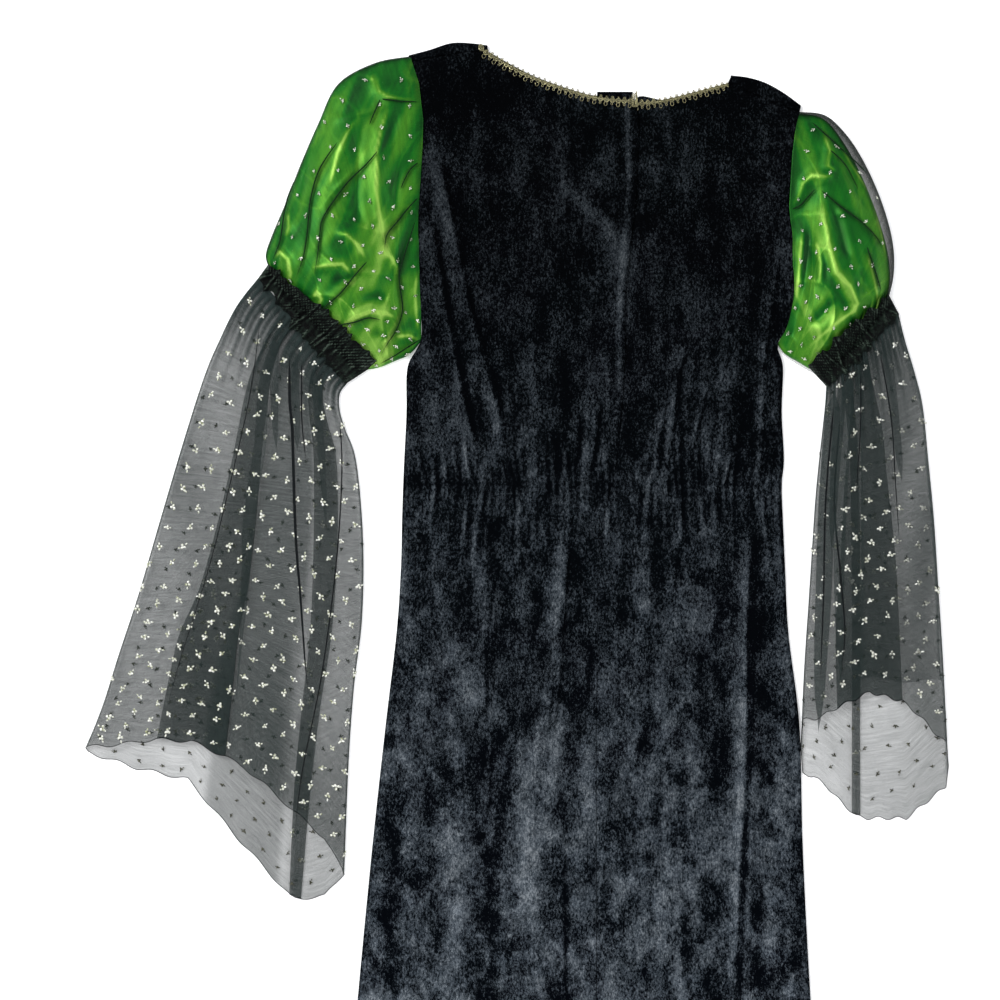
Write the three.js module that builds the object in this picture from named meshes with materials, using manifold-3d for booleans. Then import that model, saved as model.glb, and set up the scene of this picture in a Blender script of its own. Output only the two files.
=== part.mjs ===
// A witch's dress for a girl of twelve to fourteen, laid flat on its front so that its back shows.
// Millimetres, +Z up from the surface it lies on, +Y towards the neck, +X to the right as seen from above.
// Plan places are measured from the middle of the waist. "left" and "right" are as seen from above.
import * as THREE from 'three';
import Module from 'manifold-3d';

// Driving dimensions
const GAP = 0.3; // between pieces at a seam, and between layers sewn together
const VELVET = 1.5; // pile velvet of the body
const SATIN = 1.0; // satin of the puffs
const NET = 1.0; // glitter net over the puffs and of the flounces
const BRAID = 1.2; // loop braid on the neck edge
const LAYER_AIR = 0.4; // air between the layers of a folded flounce
const UNDERLAP_WIDTH = 32; // strip behind the centre back opening
const UNDERLAP_TOP = 354; // heights of its ends above the waist
const UNDERLAP_END = 72;
const BRAID_WIDTH = 10;
const BRAID_LOOP = 9; // pitch of the loops on the braid
const LOOP_DEPTH = 1.2; // how far a loop reaches past the braid's mean edge
const MOUTH = 10; // height to which the armhole stands open
const MOUTH_REACH = 75; // how far from the armhole the back is lifted by it
const GATHERS = 16; // gathers at the waist in each back panel
const GATHER_HEIGHT = 2.2;
const HEM_SAG = 10; // how much lower the hem hangs in its middle
const RUFFLES = 20; // waves gathered on the elastic of a cuff

const FRONT_LEVEL = VELVET / 2;
const BACK_LEVEL = VELVET + GAP + VELVET / 2;
const NET_PITCH = NET + LAYER_AIR;
const ARM_GAP = 0.5; // between the armhole edge and the sleeve sewn to it

// The body below the underarm: side edges and centre back line, hem first
const SKIRT = [
  { y: -821, left: -244, centre: 1, right: 219 },
  { y: -643, left: -228, centre: 2, right: 208 },
  { y: -463, left: -212, centre: 3, right: 196 },
  { y: -328, left: -199, centre: 3, right: 189 },
  { y: -218, left: -187, centre: 3, right: 186 },
  { y: -133, left: -177, centre: 4, right: 176 },
  { y: -74, left: -173, centre: 5, right: 173 },
  { y: -30, left: -172, centre: 10, right: 171 },
  { y: 0, left: -171, centre: 17, right: 170 },
  { y: 24, left: -170, centre: 22, right: 172 },
  { y: 65, left: -168, centre: 26, right: 170 },
  { y: 106, left: -167, centre: 28, right: 171 },
];

// The body above the underarm: armhole edges, and the inner edges of the two halves of the back
// and of the front, which run up the centre line and then along the neck edge to the shoulder
const YOKE = [
  { armLeft: [-155, 130], backLeft: [28, 138], backRight: [28, 138], frontLeft: [12, 138], frontRight: [12, 138], armRight: [166, 126] },
  { armLeft: [-155, 158], backLeft: [29, 175], backRight: [29, 175], frontLeft: [12, 170], frontRight: [12, 170], armRight: [174, 142] },
  { armLeft: [-157, 202], backLeft: [33, 220], backRight: [33, 220], frontLeft: [12, 210], frontRight: [12, 210], armRight: [180, 173] },
  { armLeft: [-157, 243], backLeft: [38, 270], backRight: [38, 270], frontLeft: [12, 250], frontRight: [12, 250], armRight: [179, 220] },
  { armLeft: [-154, 288], backLeft: [36, 346], backRight: [36, 344], frontLeft: [-28, 275], frontRight: [52, 275], armRight: [176, 250] },
  { armLeft: [-153, 324], backLeft: [-4, 351], backRight: [64, 347], frontLeft: [-66, 320], frontRight: [90, 310], armRight: [179, 299] },
  { armLeft: [-157, 357], backLeft: [-54, 368], backRight: [96, 355], frontLeft: [-86, 357], frontRight: [112, 342], armRight: [182, 322] },
  { armLeft: [-165, 381], backLeft: [-95, 390], backRight: [122, 362], frontLeft: [-95, 392], frontRight: [123, 364], armRight: [186, 336] },
];

// The shoulder seam on the back, and the fold above it where the front rolls over, from the left
const SHOULDER_LEFT = [
  { seam: [-165, 381], fold: [-166, 387] },
  { seam: [-147, 384], fold: [-147, 392] },
  { seam: [-129, 387], fold: [-128, 398] },
  { seam: [-112, 390], fold: [-111, 398] },
  { seam: [-95, 390], fold: [-95, 396] },
];
const SHOULDER_RIGHT = [
  { seam: [122, 362], fold: [124, 369] },
  { seam: [138, 355], fold: [140, 367] },
  { seam: [154, 348], fold: [156, 362] },
  { seam: [170, 341], fold: [172, 353] },
  { seam: [186, 336], fold: [187, 342] },
];

// Soft folds of the back: a line in plan, the half width and the height of the ridge on it
const FOLDS = [
  { width: 9, height: 3.0, line: [[-147, 319], [-133, 238], [-118, 140], [-104, 40]] },
  { width: 9, height: 2.4, line: [[-124, 265], [-111, 166], [-88, 76], [-73, 13]] },
  { width: 9, height: 2.0, line: [[-93, 140], [-70, 76], [-52, 22]] },
  { width: 9, height: 2.0, line: [[-43, 283], [6, 243], [26, 220]] },
  { width: 9, height: 2.2, line: [[108, 95], [87, 4]] },
  { width: 9, height: 2.4, line: [[128, 140], [116, 4]] },
  { width: 9, height: 2.4, line: [[159, 175], [152, 13]] },
  { width: 12, height: 3.0, line: [[-151, -67], [-160, -283], [-174, -821]] },
  { width: 12, height: 4.0, line: [[-93, -31], [-98, -103], [-111, -211], [-124, -463], [-138, -821]] },
  { width: 13, height: 5.0, line: [[-24, -13], [-30, -121], [-40, -247], [-52, -373], [-66, -821]] },
  { width: 12, height: 3.5, line: [[51, -31], [42, -139], [42, -283], [51, -821]] },
  { width: 12, height: 3.0, line: [[96, -13], [87, -139], [96, -373], [110, -821]] },
  { width: 11, height: 7.0, line: [[143, -13], [141, -193], [137, -328], [134, -463], [141, -821]] },
];

// A puff sleeve, armhole first: its upper fold edge, its underarm edge, the height of the cloth
// between them, and how far the satin lies inside the net along the upper edge
const PUFF_LEFT = [
  { outer: YOKE.at(-1).armLeft, inner: YOKE[0].armLeft, height: MOUTH, inset: 0 },
  { outer: [-196, 378], inner: [-161, 122], height: 14, inset: 1 },
  { outer: [-228, 360], inner: [-168, 116], height: 20, inset: 2 },
  { outer: [-248, 325], inner: [-175, 113], height: 24, inset: 3 },
  { outer: [-264, 288], inner: [-182, 110], height: 26, inset: 3 },
  { outer: [-278, 252], inner: [-189, 107], height: 25, inset: 3 },
  { outer: [-289, 226], inner: [-196, 105], height: 21, inset: 2 },
  { outer: [-295, 208], inner: [-202, 104], height: 13, inset: 1 },
  { outer: [-293, 198], inner: [-208, 103], height: 3, inset: 0 },
];
const PUFF_RIGHT = [
  { outer: YOKE.at(-1).armRight, inner: YOKE[0].armRight, height: MOUTH, inset: 0 },
  { outer: [209, 333], inner: [171, 118], height: 13, inset: 3 },
  { outer: [227, 317], inner: [177, 113], height: 19, inset: 6 },
  { outer: [242, 295], inner: [182, 110], height: 23, inset: 8 },
  { outer: [256, 266], inner: [187, 107], height: 25, inset: 9 },
  { outer: [266, 237], inner: [192, 104], height: 24, inset: 8 },
  { outer: [271, 212], inner: [196, 102], height: 20, inset: 6 },
  { outer: [271, 189], inner: [200, 100], height: 12, inset: 3 },
  { outer: [267, 170], inner: [204, 99], height: 3, inset: 0 },
];
// Long folds of the puffs, at steps of the way from the upper edge, and their heights
const PUFF_FOLDS_LEFT = [{ at: 2, height: 3.0 }, { at: 4, height: 3.5 }, { at: 7, height: 2.2 }, { at: 10, height: 3.5 }];
const PUFF_FOLDS_RIGHT = [{ at: 3, height: 3.5 }, { at: 5, height: 2.4 }, { at: 8, height: 3.5 }, { at: 11, height: 2.6 }];

// A flounce from its gathered top to its hem: its two fold edges, and the folds laid in its two
// layers. A fold's ends are places across the flounce, 0 at its left edge and 1 at its right.
const FLOUNCE_LEFT = [
  { left: [-301, 187], right: [-221, 92], upper: [0.34, 0.42], lower: [0.72, 0.8] },
  { left: [-321, 161], right: [-228, 82], upper: [0.33, 0.43], lower: [0.7, 0.81] },
  { left: [-337, 129], right: [-228, 67], upper: [0.31, 0.44], lower: [0.68, 0.83] },
  { left: [-350, 98], right: [-223, 50], upper: [0.3, 0.45], lower: [0.66, 0.85] },
  { left: [-368, 42], right: [-213, 20], upper: [0.3, 0.45], lower: [0.65, 0.86] },
  { left: [-390, -32], right: [-207, -50], upper: [0.29, 0.47], lower: [0.68, 0.87] },
  { left: [-410, -100], right: [-208, -121], upper: [0.28, 0.49], lower: [0.73, 0.86] },
  { left: [-427, -151], right: [-215, -180], upper: [0.26, 0.51], lower: [0.76, 0.85] },
  { left: [-441, -195], right: [-220, -249], upper: [0.27, 0.53], lower: [0.78, 0.84] },
  { left: [-457, -236], right: [-224, -349], upper: [0.28, 0.54], lower: [0.79, 0.83] },
];
const FLOUNCE_RIGHT = [
  { left: [210, 89], right: [275, 155], upper: [0.36, 0.52], lower: [0.2, 0.32] },
  { left: [209, 73], right: [281, 130], upper: [0.34, 0.54], lower: [0.23, 0.33] },
  { left: [206, 45], right: [290, 100], upper: [0.31, 0.57], lower: [0.27, 0.35] },
  { left: [203, 18], right: [297, 70], upper: [0.28, 0.6], lower: [0.3, 0.37] },
  { left: [200, -14], right: [302, 22], upper: [0.26, 0.62], lower: [0.32, 0.38] },
  { left: [197, -57], right: [307, -27], upper: [0.25, 0.64], lower: [0.33, 0.39] },
  { left: [194, -100], right: [311, -83], upper: [0.24, 0.66], lower: [0.34, 0.4] },
  { left: [190, -157], right: [315, -140], upper: [0.23, 0.67], lower: [0.35, 0.4] },
  { left: [187, -225], right: [320, -234], upper: [0.25, 0.68], lower: [0.35, 0.4] },
];
// How far each layer's hem lies above the straight line between the fold edges
const HEM_LEFT = [
  { across: 0, upper: 0, lower: -4 },
  { across: 0.17, upper: 23, lower: 2 },
  { across: 0.36, upper: 51, lower: 12 },
  { across: 0.5, upper: 54, lower: 26 },
  { across: 0.6, upper: 52, lower: -20 },
  { across: 0.7, upper: 45, lower: -36 },
  { across: 0.8, upper: 34, lower: -46 },
  { across: 0.92, upper: 24, lower: -31 },
  { across: 1, upper: 0, lower: 0 },
];
const HEM_RIGHT = [
  { across: 0, upper: 13, lower: -34 },
  { across: 0.13, upper: 17, lower: -38 },
  { across: 0.24, upper: 27, lower: -54 },
  { across: 0.38, upper: 43, lower: -70 },
  { across: 0.62, upper: 43, lower: -73 },
  { across: 0.8, upper: 25, lower: -65 },
  { across: 0.92, upper: 8, lower: -52 },
  { across: 1, upper: 0, lower: -34 },
];
// Soft ridges of the upper layer beside its fold
const RIDGES_LEFT = [{ across: 0.13, width: 0.06, height: 2.0 }, { across: 0.68, width: 0.05, height: 2.6 }, { across: 0.86, width: 0.05, height: 1.6 }];
const RIDGES_RIGHT = [{ across: 0.1, width: 0.05, height: 1.6 }, { across: 0.84, width: 0.05, height: 2.4 }];

// Small mathematics

const mix = (a, b, t) => a + (b - a) * t;
const mixPoint = (a, b, t) => [mix(a[0], b[0], t), mix(a[1], b[1], t)];
const clamp01 = (t) => Math.min(1, Math.max(0, t));
const smooth = (t) => clamp01(t) ** 2 * (3 - 2 * clamp01(t));
const distance = (a, b) => Math.hypot(a[0] - b[0], a[1] - b[1]);

// The point of a polyline at a place from 0 to 1, each of its stretches taking an equal part.
function along(line, place) {
  const steps = clamp01(place) * (line.length - 1);
  const i = Math.min(line.length - 2, Math.floor(steps));
  return mixPoint(line[i], line[i + 1], steps - i);
}

// The distance from a point to a polyline, and the place of the nearest point on it.
function toLine(p, line) {
  let best = { away: Infinity, place: 0 };
  for (let i = 0; i + 1 < line.length; i++) {
    const [a, b] = [line[i], line[i + 1]];
    const dot = (p[0] - a[0]) * (b[0] - a[0]) + (p[1] - a[1]) * (b[1] - a[1]);
    const t = clamp01(dot / distance(a, b) ** 2);
    const away = distance(p, mixPoint(a, b, t));
    if (away < best.away) best = { away, place: (i + t) / (line.length - 1) };
  }
  return best;
}

// A named column of a table, between its rows by another of its columns.
function column(table, name, by, value) {
  let i = 0;
  while (i + 2 < table.length && table[i + 1][by] < value) i++;
  const [a, b] = [table[i], table[i + 1]];
  return mix(a[name], b[name], clamp01((value - a[by]) / (b[by] - a[by])));
}

const ridge = (offset, width) => Math.exp(-((offset / width) ** 2));

// The cross shape of cloth blown up between two sewn edges, 0 at the edges and 1 between.
const bulge = (across) => Math.max(0, 1 - Math.abs(2 * clamp01(across) - 1) ** 2.5) ** 0.75;

// Walls of cloth. A grid is rows of points on the middle of the wall, and goes round where closed.

function neighbour(grid, closed, r, k) {
  const row = grid[Math.min(grid.length - 1, Math.max(0, r))];
  return row[closed ? (k + row.length) % row.length : Math.min(row.length - 1, Math.max(0, k))];
}

// The unit normals of a grid. At a rim they stay in the rim's own plane, so that rims are upright.
function normals(grid, closed) {
  return grid.map((row, r) => row.map((_, k) => {
    const down = new THREE.Vector3().subVectors(neighbour(grid, closed, r + 1, k), neighbour(grid, closed, r - 1, k));
    const over = new THREE.Vector3().subVectors(neighbour(grid, closed, r, k + 1), neighbour(grid, closed, r, k - 1));
    if (r === 0 || r === grid.length - 1) down.z = 0;
    if (!closed && (k === 0 || k === row.length - 1)) over.z = 0;
    return over.cross(down).normalize();
  }));
}

function wall(grid, thickness, closed = false) {
  const rows = grid.length;
  const across = grid[0].length;
  const out = normals(grid, closed);
  const positions = [];
  for (const side of [0.5, -0.5]) {
    for (let r = 0; r < rows; r++) {
      for (let k = 0; k < across; k++) {
        const p = grid[r][k].clone().addScaledVector(out[r][k], side * thickness);
        positions.push(p.x, p.y, p.z);
      }
    }
  }
  const index = [];
  const quad = (a, b, c, d) => index.push(a, b, c, a, c, d);
  const outer = (r, k) => r * across + (k % across);
  const inner = (r, k) => rows * across + outer(r, k);
  const spans = closed ? across : across - 1;
  for (let r = 0; r + 1 < rows; r++) {
    for (let k = 0; k < spans; k++) {
      quad(outer(r, k), outer(r, k + 1), outer(r + 1, k + 1), outer(r + 1, k));
      quad(inner(r, k), inner(r + 1, k), inner(r + 1, k + 1), inner(r, k + 1));
    }
    if (!closed) {
      quad(outer(r, 0), outer(r + 1, 0), inner(r + 1, 0), inner(r, 0));
      quad(outer(r, spans), inner(r, spans), inner(r + 1, spans), outer(r + 1, spans));
    }
  }
  for (let k = 0; k < spans; k++) {
    quad(outer(0, k), inner(0, k), inner(0, k + 1), outer(0, k + 1));
    quad(outer(rows - 1, k), outer(rows - 1, k + 1), inner(rows - 1, k + 1), inner(rows - 1, k));
  }
  const geometry = new THREE.BufferGeometry();
  geometry.setAttribute('position', new THREE.Float32BufferAttribute(positions, 3));
  geometry.setIndex(index);
  return facingOut(geometry);
}

function facingOut(geometry) {
  const p = geometry.attributes.position;
  const index = geometry.index.array;
  const [a, b, c] = [new THREE.Vector3(), new THREE.Vector3(), new THREE.Vector3()];
  let volume = 0;
  for (let i = 0; i < index.length; i += 3) {
    a.fromBufferAttribute(p, index[i]);
    b.fromBufferAttribute(p, index[i + 1]);
    c.fromBufferAttribute(p, index[i + 2]);
    volume += a.dot(b.cross(c));
  }
  if (volume < 0) {
    for (let i = 0; i < index.length; i += 3) [index[i + 1], index[i + 2]] = [index[i + 2], index[i + 1]];
  }
  return geometry;
}

// The height of a grid's cloth at a place in plan.
function gridHeight(grid, [x, y]) {
  for (let r = 0; r + 1 < grid.length; r++) {
    for (let k = 0; k + 1 < grid[r].length; k++) {
      const corners = [grid[r][k], grid[r][k + 1], grid[r + 1][k + 1], grid[r + 1][k]];
      for (const [a, b, c] of [[corners[0], corners[1], corners[2]], [corners[0], corners[2], corners[3]]]) {
        const area = (b.x - a.x) * (c.y - a.y) - (c.x - a.x) * (b.y - a.y);
        const u = ((x - a.x) * (c.y - a.y) - (c.x - a.x) * (y - a.y)) / area;
        const v = ((b.x - a.x) * (y - a.y) - (x - a.x) * (b.y - a.y)) / area;
        if (u >= 0 && v >= 0 && u + v <= 1) return a.z + u * (b.z - a.z) + v * (c.z - a.z);
      }
    }
  }
  return BACK_LEVEL;
}

// Two overlapping solids made into one.
function joined(wasm, first, second) {
  const solid = (g) => new wasm.Manifold(new wasm.Mesh({
    numProp: 3,
    vertProperties: new Float32Array(g.attributes.position.array),
    triVerts: new Uint32Array(g.index.array),
  }));
  const mesh = solid(first).add(solid(second)).getMesh();
  const geometry = new THREE.BufferGeometry();
  geometry.setAttribute('position', new THREE.BufferAttribute(mesh.vertProperties, 3));
  geometry.setIndex(new THREE.BufferAttribute(mesh.triVerts, 1));
  return geometry;
}

// The back

const ARMHOLE = { left: YOKE.map((s) => s.armLeft).reverse(), right: YOKE.map((s) => s.armRight).reverse() };
const SHOULDER = { left: SHOULDER_LEFT, right: SHOULDER_RIGHT };
const CENTRE_BACK = [...SKIRT.map((s) => [s.centre, s.y]), ...YOKE.slice(0, 5).map((s) => s.backLeft)];
const centreAt = (y) => column(CENTRE_BACK.map(([x, at]) => ({ x, at })), 'x', 'at', y);

// The height of the back above where it lies flat on the front.
function backHeight(side, p) {
  const arm = toLine(p, ARMHOLE[side]);
  let height = MOUTH * bulge(arm.place) * smooth(1 - arm.away / MOUTH_REACH);
  for (const fold of FOLDS) {
    const near = toLine(p, fold.line);
    const toHem = fold.line.at(-1)[1] === SKIRT[0].y;
    const fade = 4 * (toHem ? near.place : Math.min(near.place, 1 - near.place));
    height += fold.height * smooth(fade) * ridge(near.away, fold.width);
  }
  if (side === 'left') {
    const FADE = 30;
    const inward = centreAt(p[1]) - p[0];
    const beside = smooth((UNDERLAP_WIDTH + 2 * FADE - inward) / FADE);
    const above = smooth((p[1] - UNDERLAP_END) / FADE + 1.5);
    height += (VELVET + GAP) * above * beside;
  }
  return height;
}

// The height of a gather, the half waves counted from the side, uneven from one to the next.
function gatherHeight(count, y) {
  if (count % 2 === 0 || count === 1 || count === 2 * GATHERS - 1) return 0;
  const unevenness = 0.75 + 0.25 * Math.sin(count * 2.3);
  const reach = y > 0 ? 95 * unevenness : 190 * (0.7 + 0.3 * Math.sin(count * 1.7 + 1));
  return GATHER_HEIGHT * unevenness * smooth(1 - Math.abs(y) / reach);
}

function backGrid(side) {
  const left = side === 'left';
  const columns = 2 * GATHERS;
  const SIDE_FADE = 3;
  const seam = SHOULDER[side].map((s) => s.seam);
  const rows = [
    ...SKIRT.map((s) => (left ? [[s.left, s.y], [s.centre, s.y]] : [[s.centre, s.y], [s.right, s.y]])),
    ...YOKE.slice(0, -1).map((s) => (left ? [s.armLeft, s.backLeft] : [s.backRight, s.armRight])),
    seam,
  ];
  return rows.map((row, r) => {
    const points = [];
    for (let k = 0; k <= columns; k++) {
      const p = along(row, k / columns);
      const fromSide = left ? k : columns - k;
      const onSkirt = r < SKIRT.length ? smooth(fromSide / SIDE_FADE) : 1;
      const height = backHeight(side, p) * onSkirt + gatherHeight(fromSide, p[1]);
      if (fromSide === columns) p[0] += left ? -GAP / 2 : GAP / 2;
      if (r === 0) p[1] -= HEM_SAG * Math.sin(((Math.PI / 2) * fromSide) / columns);
      points.push(new THREE.Vector3(p[0], p[1], BACK_LEVEL + height));
    }
    return points;
  });
}

// The strip behind the centre back opening, sewn to the right half and lying under the left.
function placketUnderlap() {
  const between = CENTRE_BACK.map((c) => c[1]).filter((y) => y > UNDERLAP_END && y < UNDERLAP_TOP);
  return wall([UNDERLAP_END, ...between, UNDERLAP_TOP].map((y) => {
    const edge = centreAt(y) - GAP;
    return [-1, -0.5, 0].map((side) => new THREE.Vector3(edge + side * UNDERLAP_WIDTH, y, BACK_LEVEL));
  }), VELVET);
}

// The front

// One half of the front, flat on the surface, with its strap rolled over the shoulder to the seam.
function frontHalf(side) {
  const left = side === 'left';
  const CENTRE = YOKE[0].frontLeft[0];
  const OVERLAP = left ? 1 : -1;
  const spans = SHOULDER[side].length - 1;
  const rows = [
    ...SKIRT.map((s) => (left ? [[s.left, s.y], [CENTRE, s.y]] : [[CENTRE, s.y], [s.right, s.y]])),
    ...YOKE.slice(0, -1).map((s) => (left ? [s.armLeft, s.frontLeft] : [s.frontRight, s.armRight])),
  ];
  const grid = rows.map((row, r) => {
    const points = [];
    for (let k = 0; k <= spans; k++) {
      const p = along(row, k / spans);
      const fromSide = left ? k : spans - k;
      if (fromSide === spans && p[0] === CENTRE) p[0] += OVERLAP;
      if (r === 0) p[1] -= HEM_SAG * Math.sin(((Math.PI / 2) * fromSide) / spans);
      points.push(new THREE.Vector3(p[0], p[1], FRONT_LEVEL));
    }
    return points;
  });
  // The roll is half a turn from the surface up to the level of the back
  const radius = (BACK_LEVEL - FRONT_LEVEL) / 2;
  const BEHIND = 2.2;
  const roll = (inward, z) => SHOULDER[side].map(({ fold }) => new THREE.Vector3(fold[0], fold[1] - inward, z));
  grid.push(roll(BEHIND, FRONT_LEVEL), roll(VELVET / 2, FRONT_LEVEL + radius), roll(BEHIND, BACK_LEVEL));
  grid.push(SHOULDER[side].map(({ seam }) => new THREE.Vector3(seam[0], seam[1] + GAP, BACK_LEVEL)));
  return wall(grid, VELVET);
}

// The neck braid

// Braid on the neck edge, its lower side in loops, made from the back's own cloth moved out.
function neckBraid(side, grid) {
  const edge = YOKE.slice(4).map((s) => (side === 'left' ? s.backLeft : s.backRight)).reverse();
  const length = edge.slice(1).reduce((sum, p, i) => sum + distance(edge[i], p), 0);
  const halves = 2 * Math.round(length / BRAID_LOOP);
  const INSET = 1.5;
  const END = 0.015;
  const ROUGHNESS = 0.35;
  const lift = VELVET / 2 + GAP + BRAID / 2 + ROUGHNESS;
  const rows = [];
  for (let i = 0; i <= halves; i++) {
    const place = mix(END, 1 - END, i / halves);
    const p = along(edge, place);
    const [a, b] = [along(edge, place - 0.06), along(edge, place + 0.06)];
    const forward = [(b[0] - a[0]) / distance(a, b), (b[1] - a[1]) / distance(a, b)];
    const inward = side === 'left' ? [forward[1], -forward[0]] : [-forward[1], forward[0]];
    const reach = BRAID_WIDTH + (i % 2 ? LOOP_DEPTH : -LOOP_DEPTH);
    rows.push([INSET, BRAID_WIDTH / 2, reach].map((d) => {
      const q = [p[0] + inward[0] * d, p[1] + inward[1] * d];
      return new THREE.Vector3(q[0], q[1], lift + gridHeight(grid, q));
    }));
  }
  return wall(rows, BRAID);
}

// Sleeves

const UPPER_SPANS = 2 * (YOKE.length - 1); // steps across the puff, over and under its hollow
const LOWER_SPANS = YOKE.length - 1;
const EDGE = 3; // how far from a fold edge its rounding starts
const SATIN_INSET = 2.5; // how far the satin's fold edge lies inside the net's
const LOOSE = 0.6; // how much further the looser net stands off the satin over the hollow
const EDGE_RISE = 2.6; // between the two layers of doubled cloth at a fold edge
const DOUBLE_HALF = (NET + GAP + SATIN) / 2; // half the thickness of net and satin together
const NET_RISE = EDGE_RISE + GAP + (NET + SATIN) / 2;

// The plan point of a ring of the puff, the first ring following the armhole's own curve.
function puffPoint(side, section, row, across) {
  const straight = mixPoint(section.outer, section.inner, across);
  const bow = 1 - smooth(row / 3);
  const curve = along(ARMHOLE[side], across);
  const chord = mixPoint(ARMHOLE[side][0], ARMHOLE[side].at(-1), across);
  const out = row > 0 ? 0 : side === 'left' ? -ARM_GAP : ARM_GAP;
  return [straight[0] + bow * (curve[0] - chord[0]) + out, straight[1] + bow * (curve[1] - chord[1])];
}

// The places across a ring, 0 at the upper edge and 1 at the underarm: under the hollow, round the
// underarm edge, and back over it.
function ringPlaces(section) {
  const edge = EDGE / distance(section.outer, section.inner);
  const inside = (across) => Math.min(1 - edge, Math.max(edge, across));
  const places = [];
  for (let k = 0; k <= LOWER_SPANS; k++) places.push({ across: inside(k / LOWER_SPANS), part: 'under' });
  places.push({ across: 1, part: 'edge' });
  for (let k = UPPER_SPANS; k >= 0; k--) places.push({ across: inside(k / UPPER_SPANS), part: 'over' });
  places.push({ across: 0, part: 'edge' });
  return places;
}

// The middle of the net's wall, ring by ring.
function puffGrid(side, table, folds) {
  const low = NET / 2;
  return table.map((section, row) => {
    const s = row / (table.length - 1);
    const window = smooth(s * 3) * smooth((1 - s) * 5);
    return ringPlaces(section).map(({ across, part }) => {
      let height = section.height * bulge(across);
      for (const fold of folds) height += window * fold.height * ridge(across - fold.at / UPPER_SPANS, 0.045);
      const z = { under: low, edge: low + NET_RISE / 2, over: low + NET_RISE + height }[part];
      return new THREE.Vector3(...puffPoint(side, section, row, across), z);
    });
  });
}

// The satin is the net's own cloth moved in, and it lies further inside it along the upper edge.
function satinGrid(side, table, netGrid) {
  const out = normals(netGrid, true);
  const inward = out[0][1].z < 0 ? -1 : 1;
  return table.map((section, row) => ringPlaces(section).map(({ across, part }, k) => {
    const shift = SATIN_INSET * (1 - 2 * across) + section.inset * clamp01(1 - 2 * across) ** 2;
    const place = across + shift / distance(section.outer, section.inner);
    const q = new THREE.Vector3(...puffPoint(side, section, row, place), netGrid[row][k].z);
    if (part === 'edge') return q;
    const sewn = part === 'under' || row === 0 || row === table.length - 1;
    return q.addScaledVector(out[row][k], inward * (GAP + (NET + SATIN) / 2 + (sewn ? 0 : LOOSE)));
  }));
}

// The gathered elastic casing between a puff and its flounce.
function cuffCasing(side, table, fall) {
  const left = side === 'left';
  const end = table.at(-1);
  const far = left ? { outer: fall[0].left, inner: fall[0].right } : { outer: fall[0].right, inner: fall[0].left };
  const RINGS = [{ place: 0.04, swell: 0 }, { place: 0.5, swell: 1 }, { place: 0.96, swell: 0 }];
  const GATHER = 1.1;
  const EDGE_PART = 0.03;
  const grid = RINGS.map(({ place, swell }) => {
    const from = mixPoint(end.outer, far.outer, place);
    const to = mixPoint(end.inner, far.inner, place);
    const points = [];
    const add = (across, z) => points.push(new THREE.Vector3(...mixPoint(from, to, across), z));
    for (let k = 0; k <= 6; k++) add(mix(EDGE_PART, 1 - EDGE_PART, k / 6), DOUBLE_HALF);
    add(1, DOUBLE_HALF + EDGE_RISE / 2);
    for (let k = 2 * RUFFLES; k >= 0; k--) {
      const across = mix(EDGE_PART, 1 - EDGE_PART, k / (2 * RUFFLES));
      const wave = (k % 2 ? GATHER : 0) * (0.2 + swell) + swell;
      add(across, DOUBLE_HALF + EDGE_RISE + end.height * bulge(across) + wave);
    }
    add(0, DOUBLE_HALF + EDGE_RISE / 2);
    return points;
  });
  return wall(grid, 2 * DOUBLE_HALF, true);
}

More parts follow.
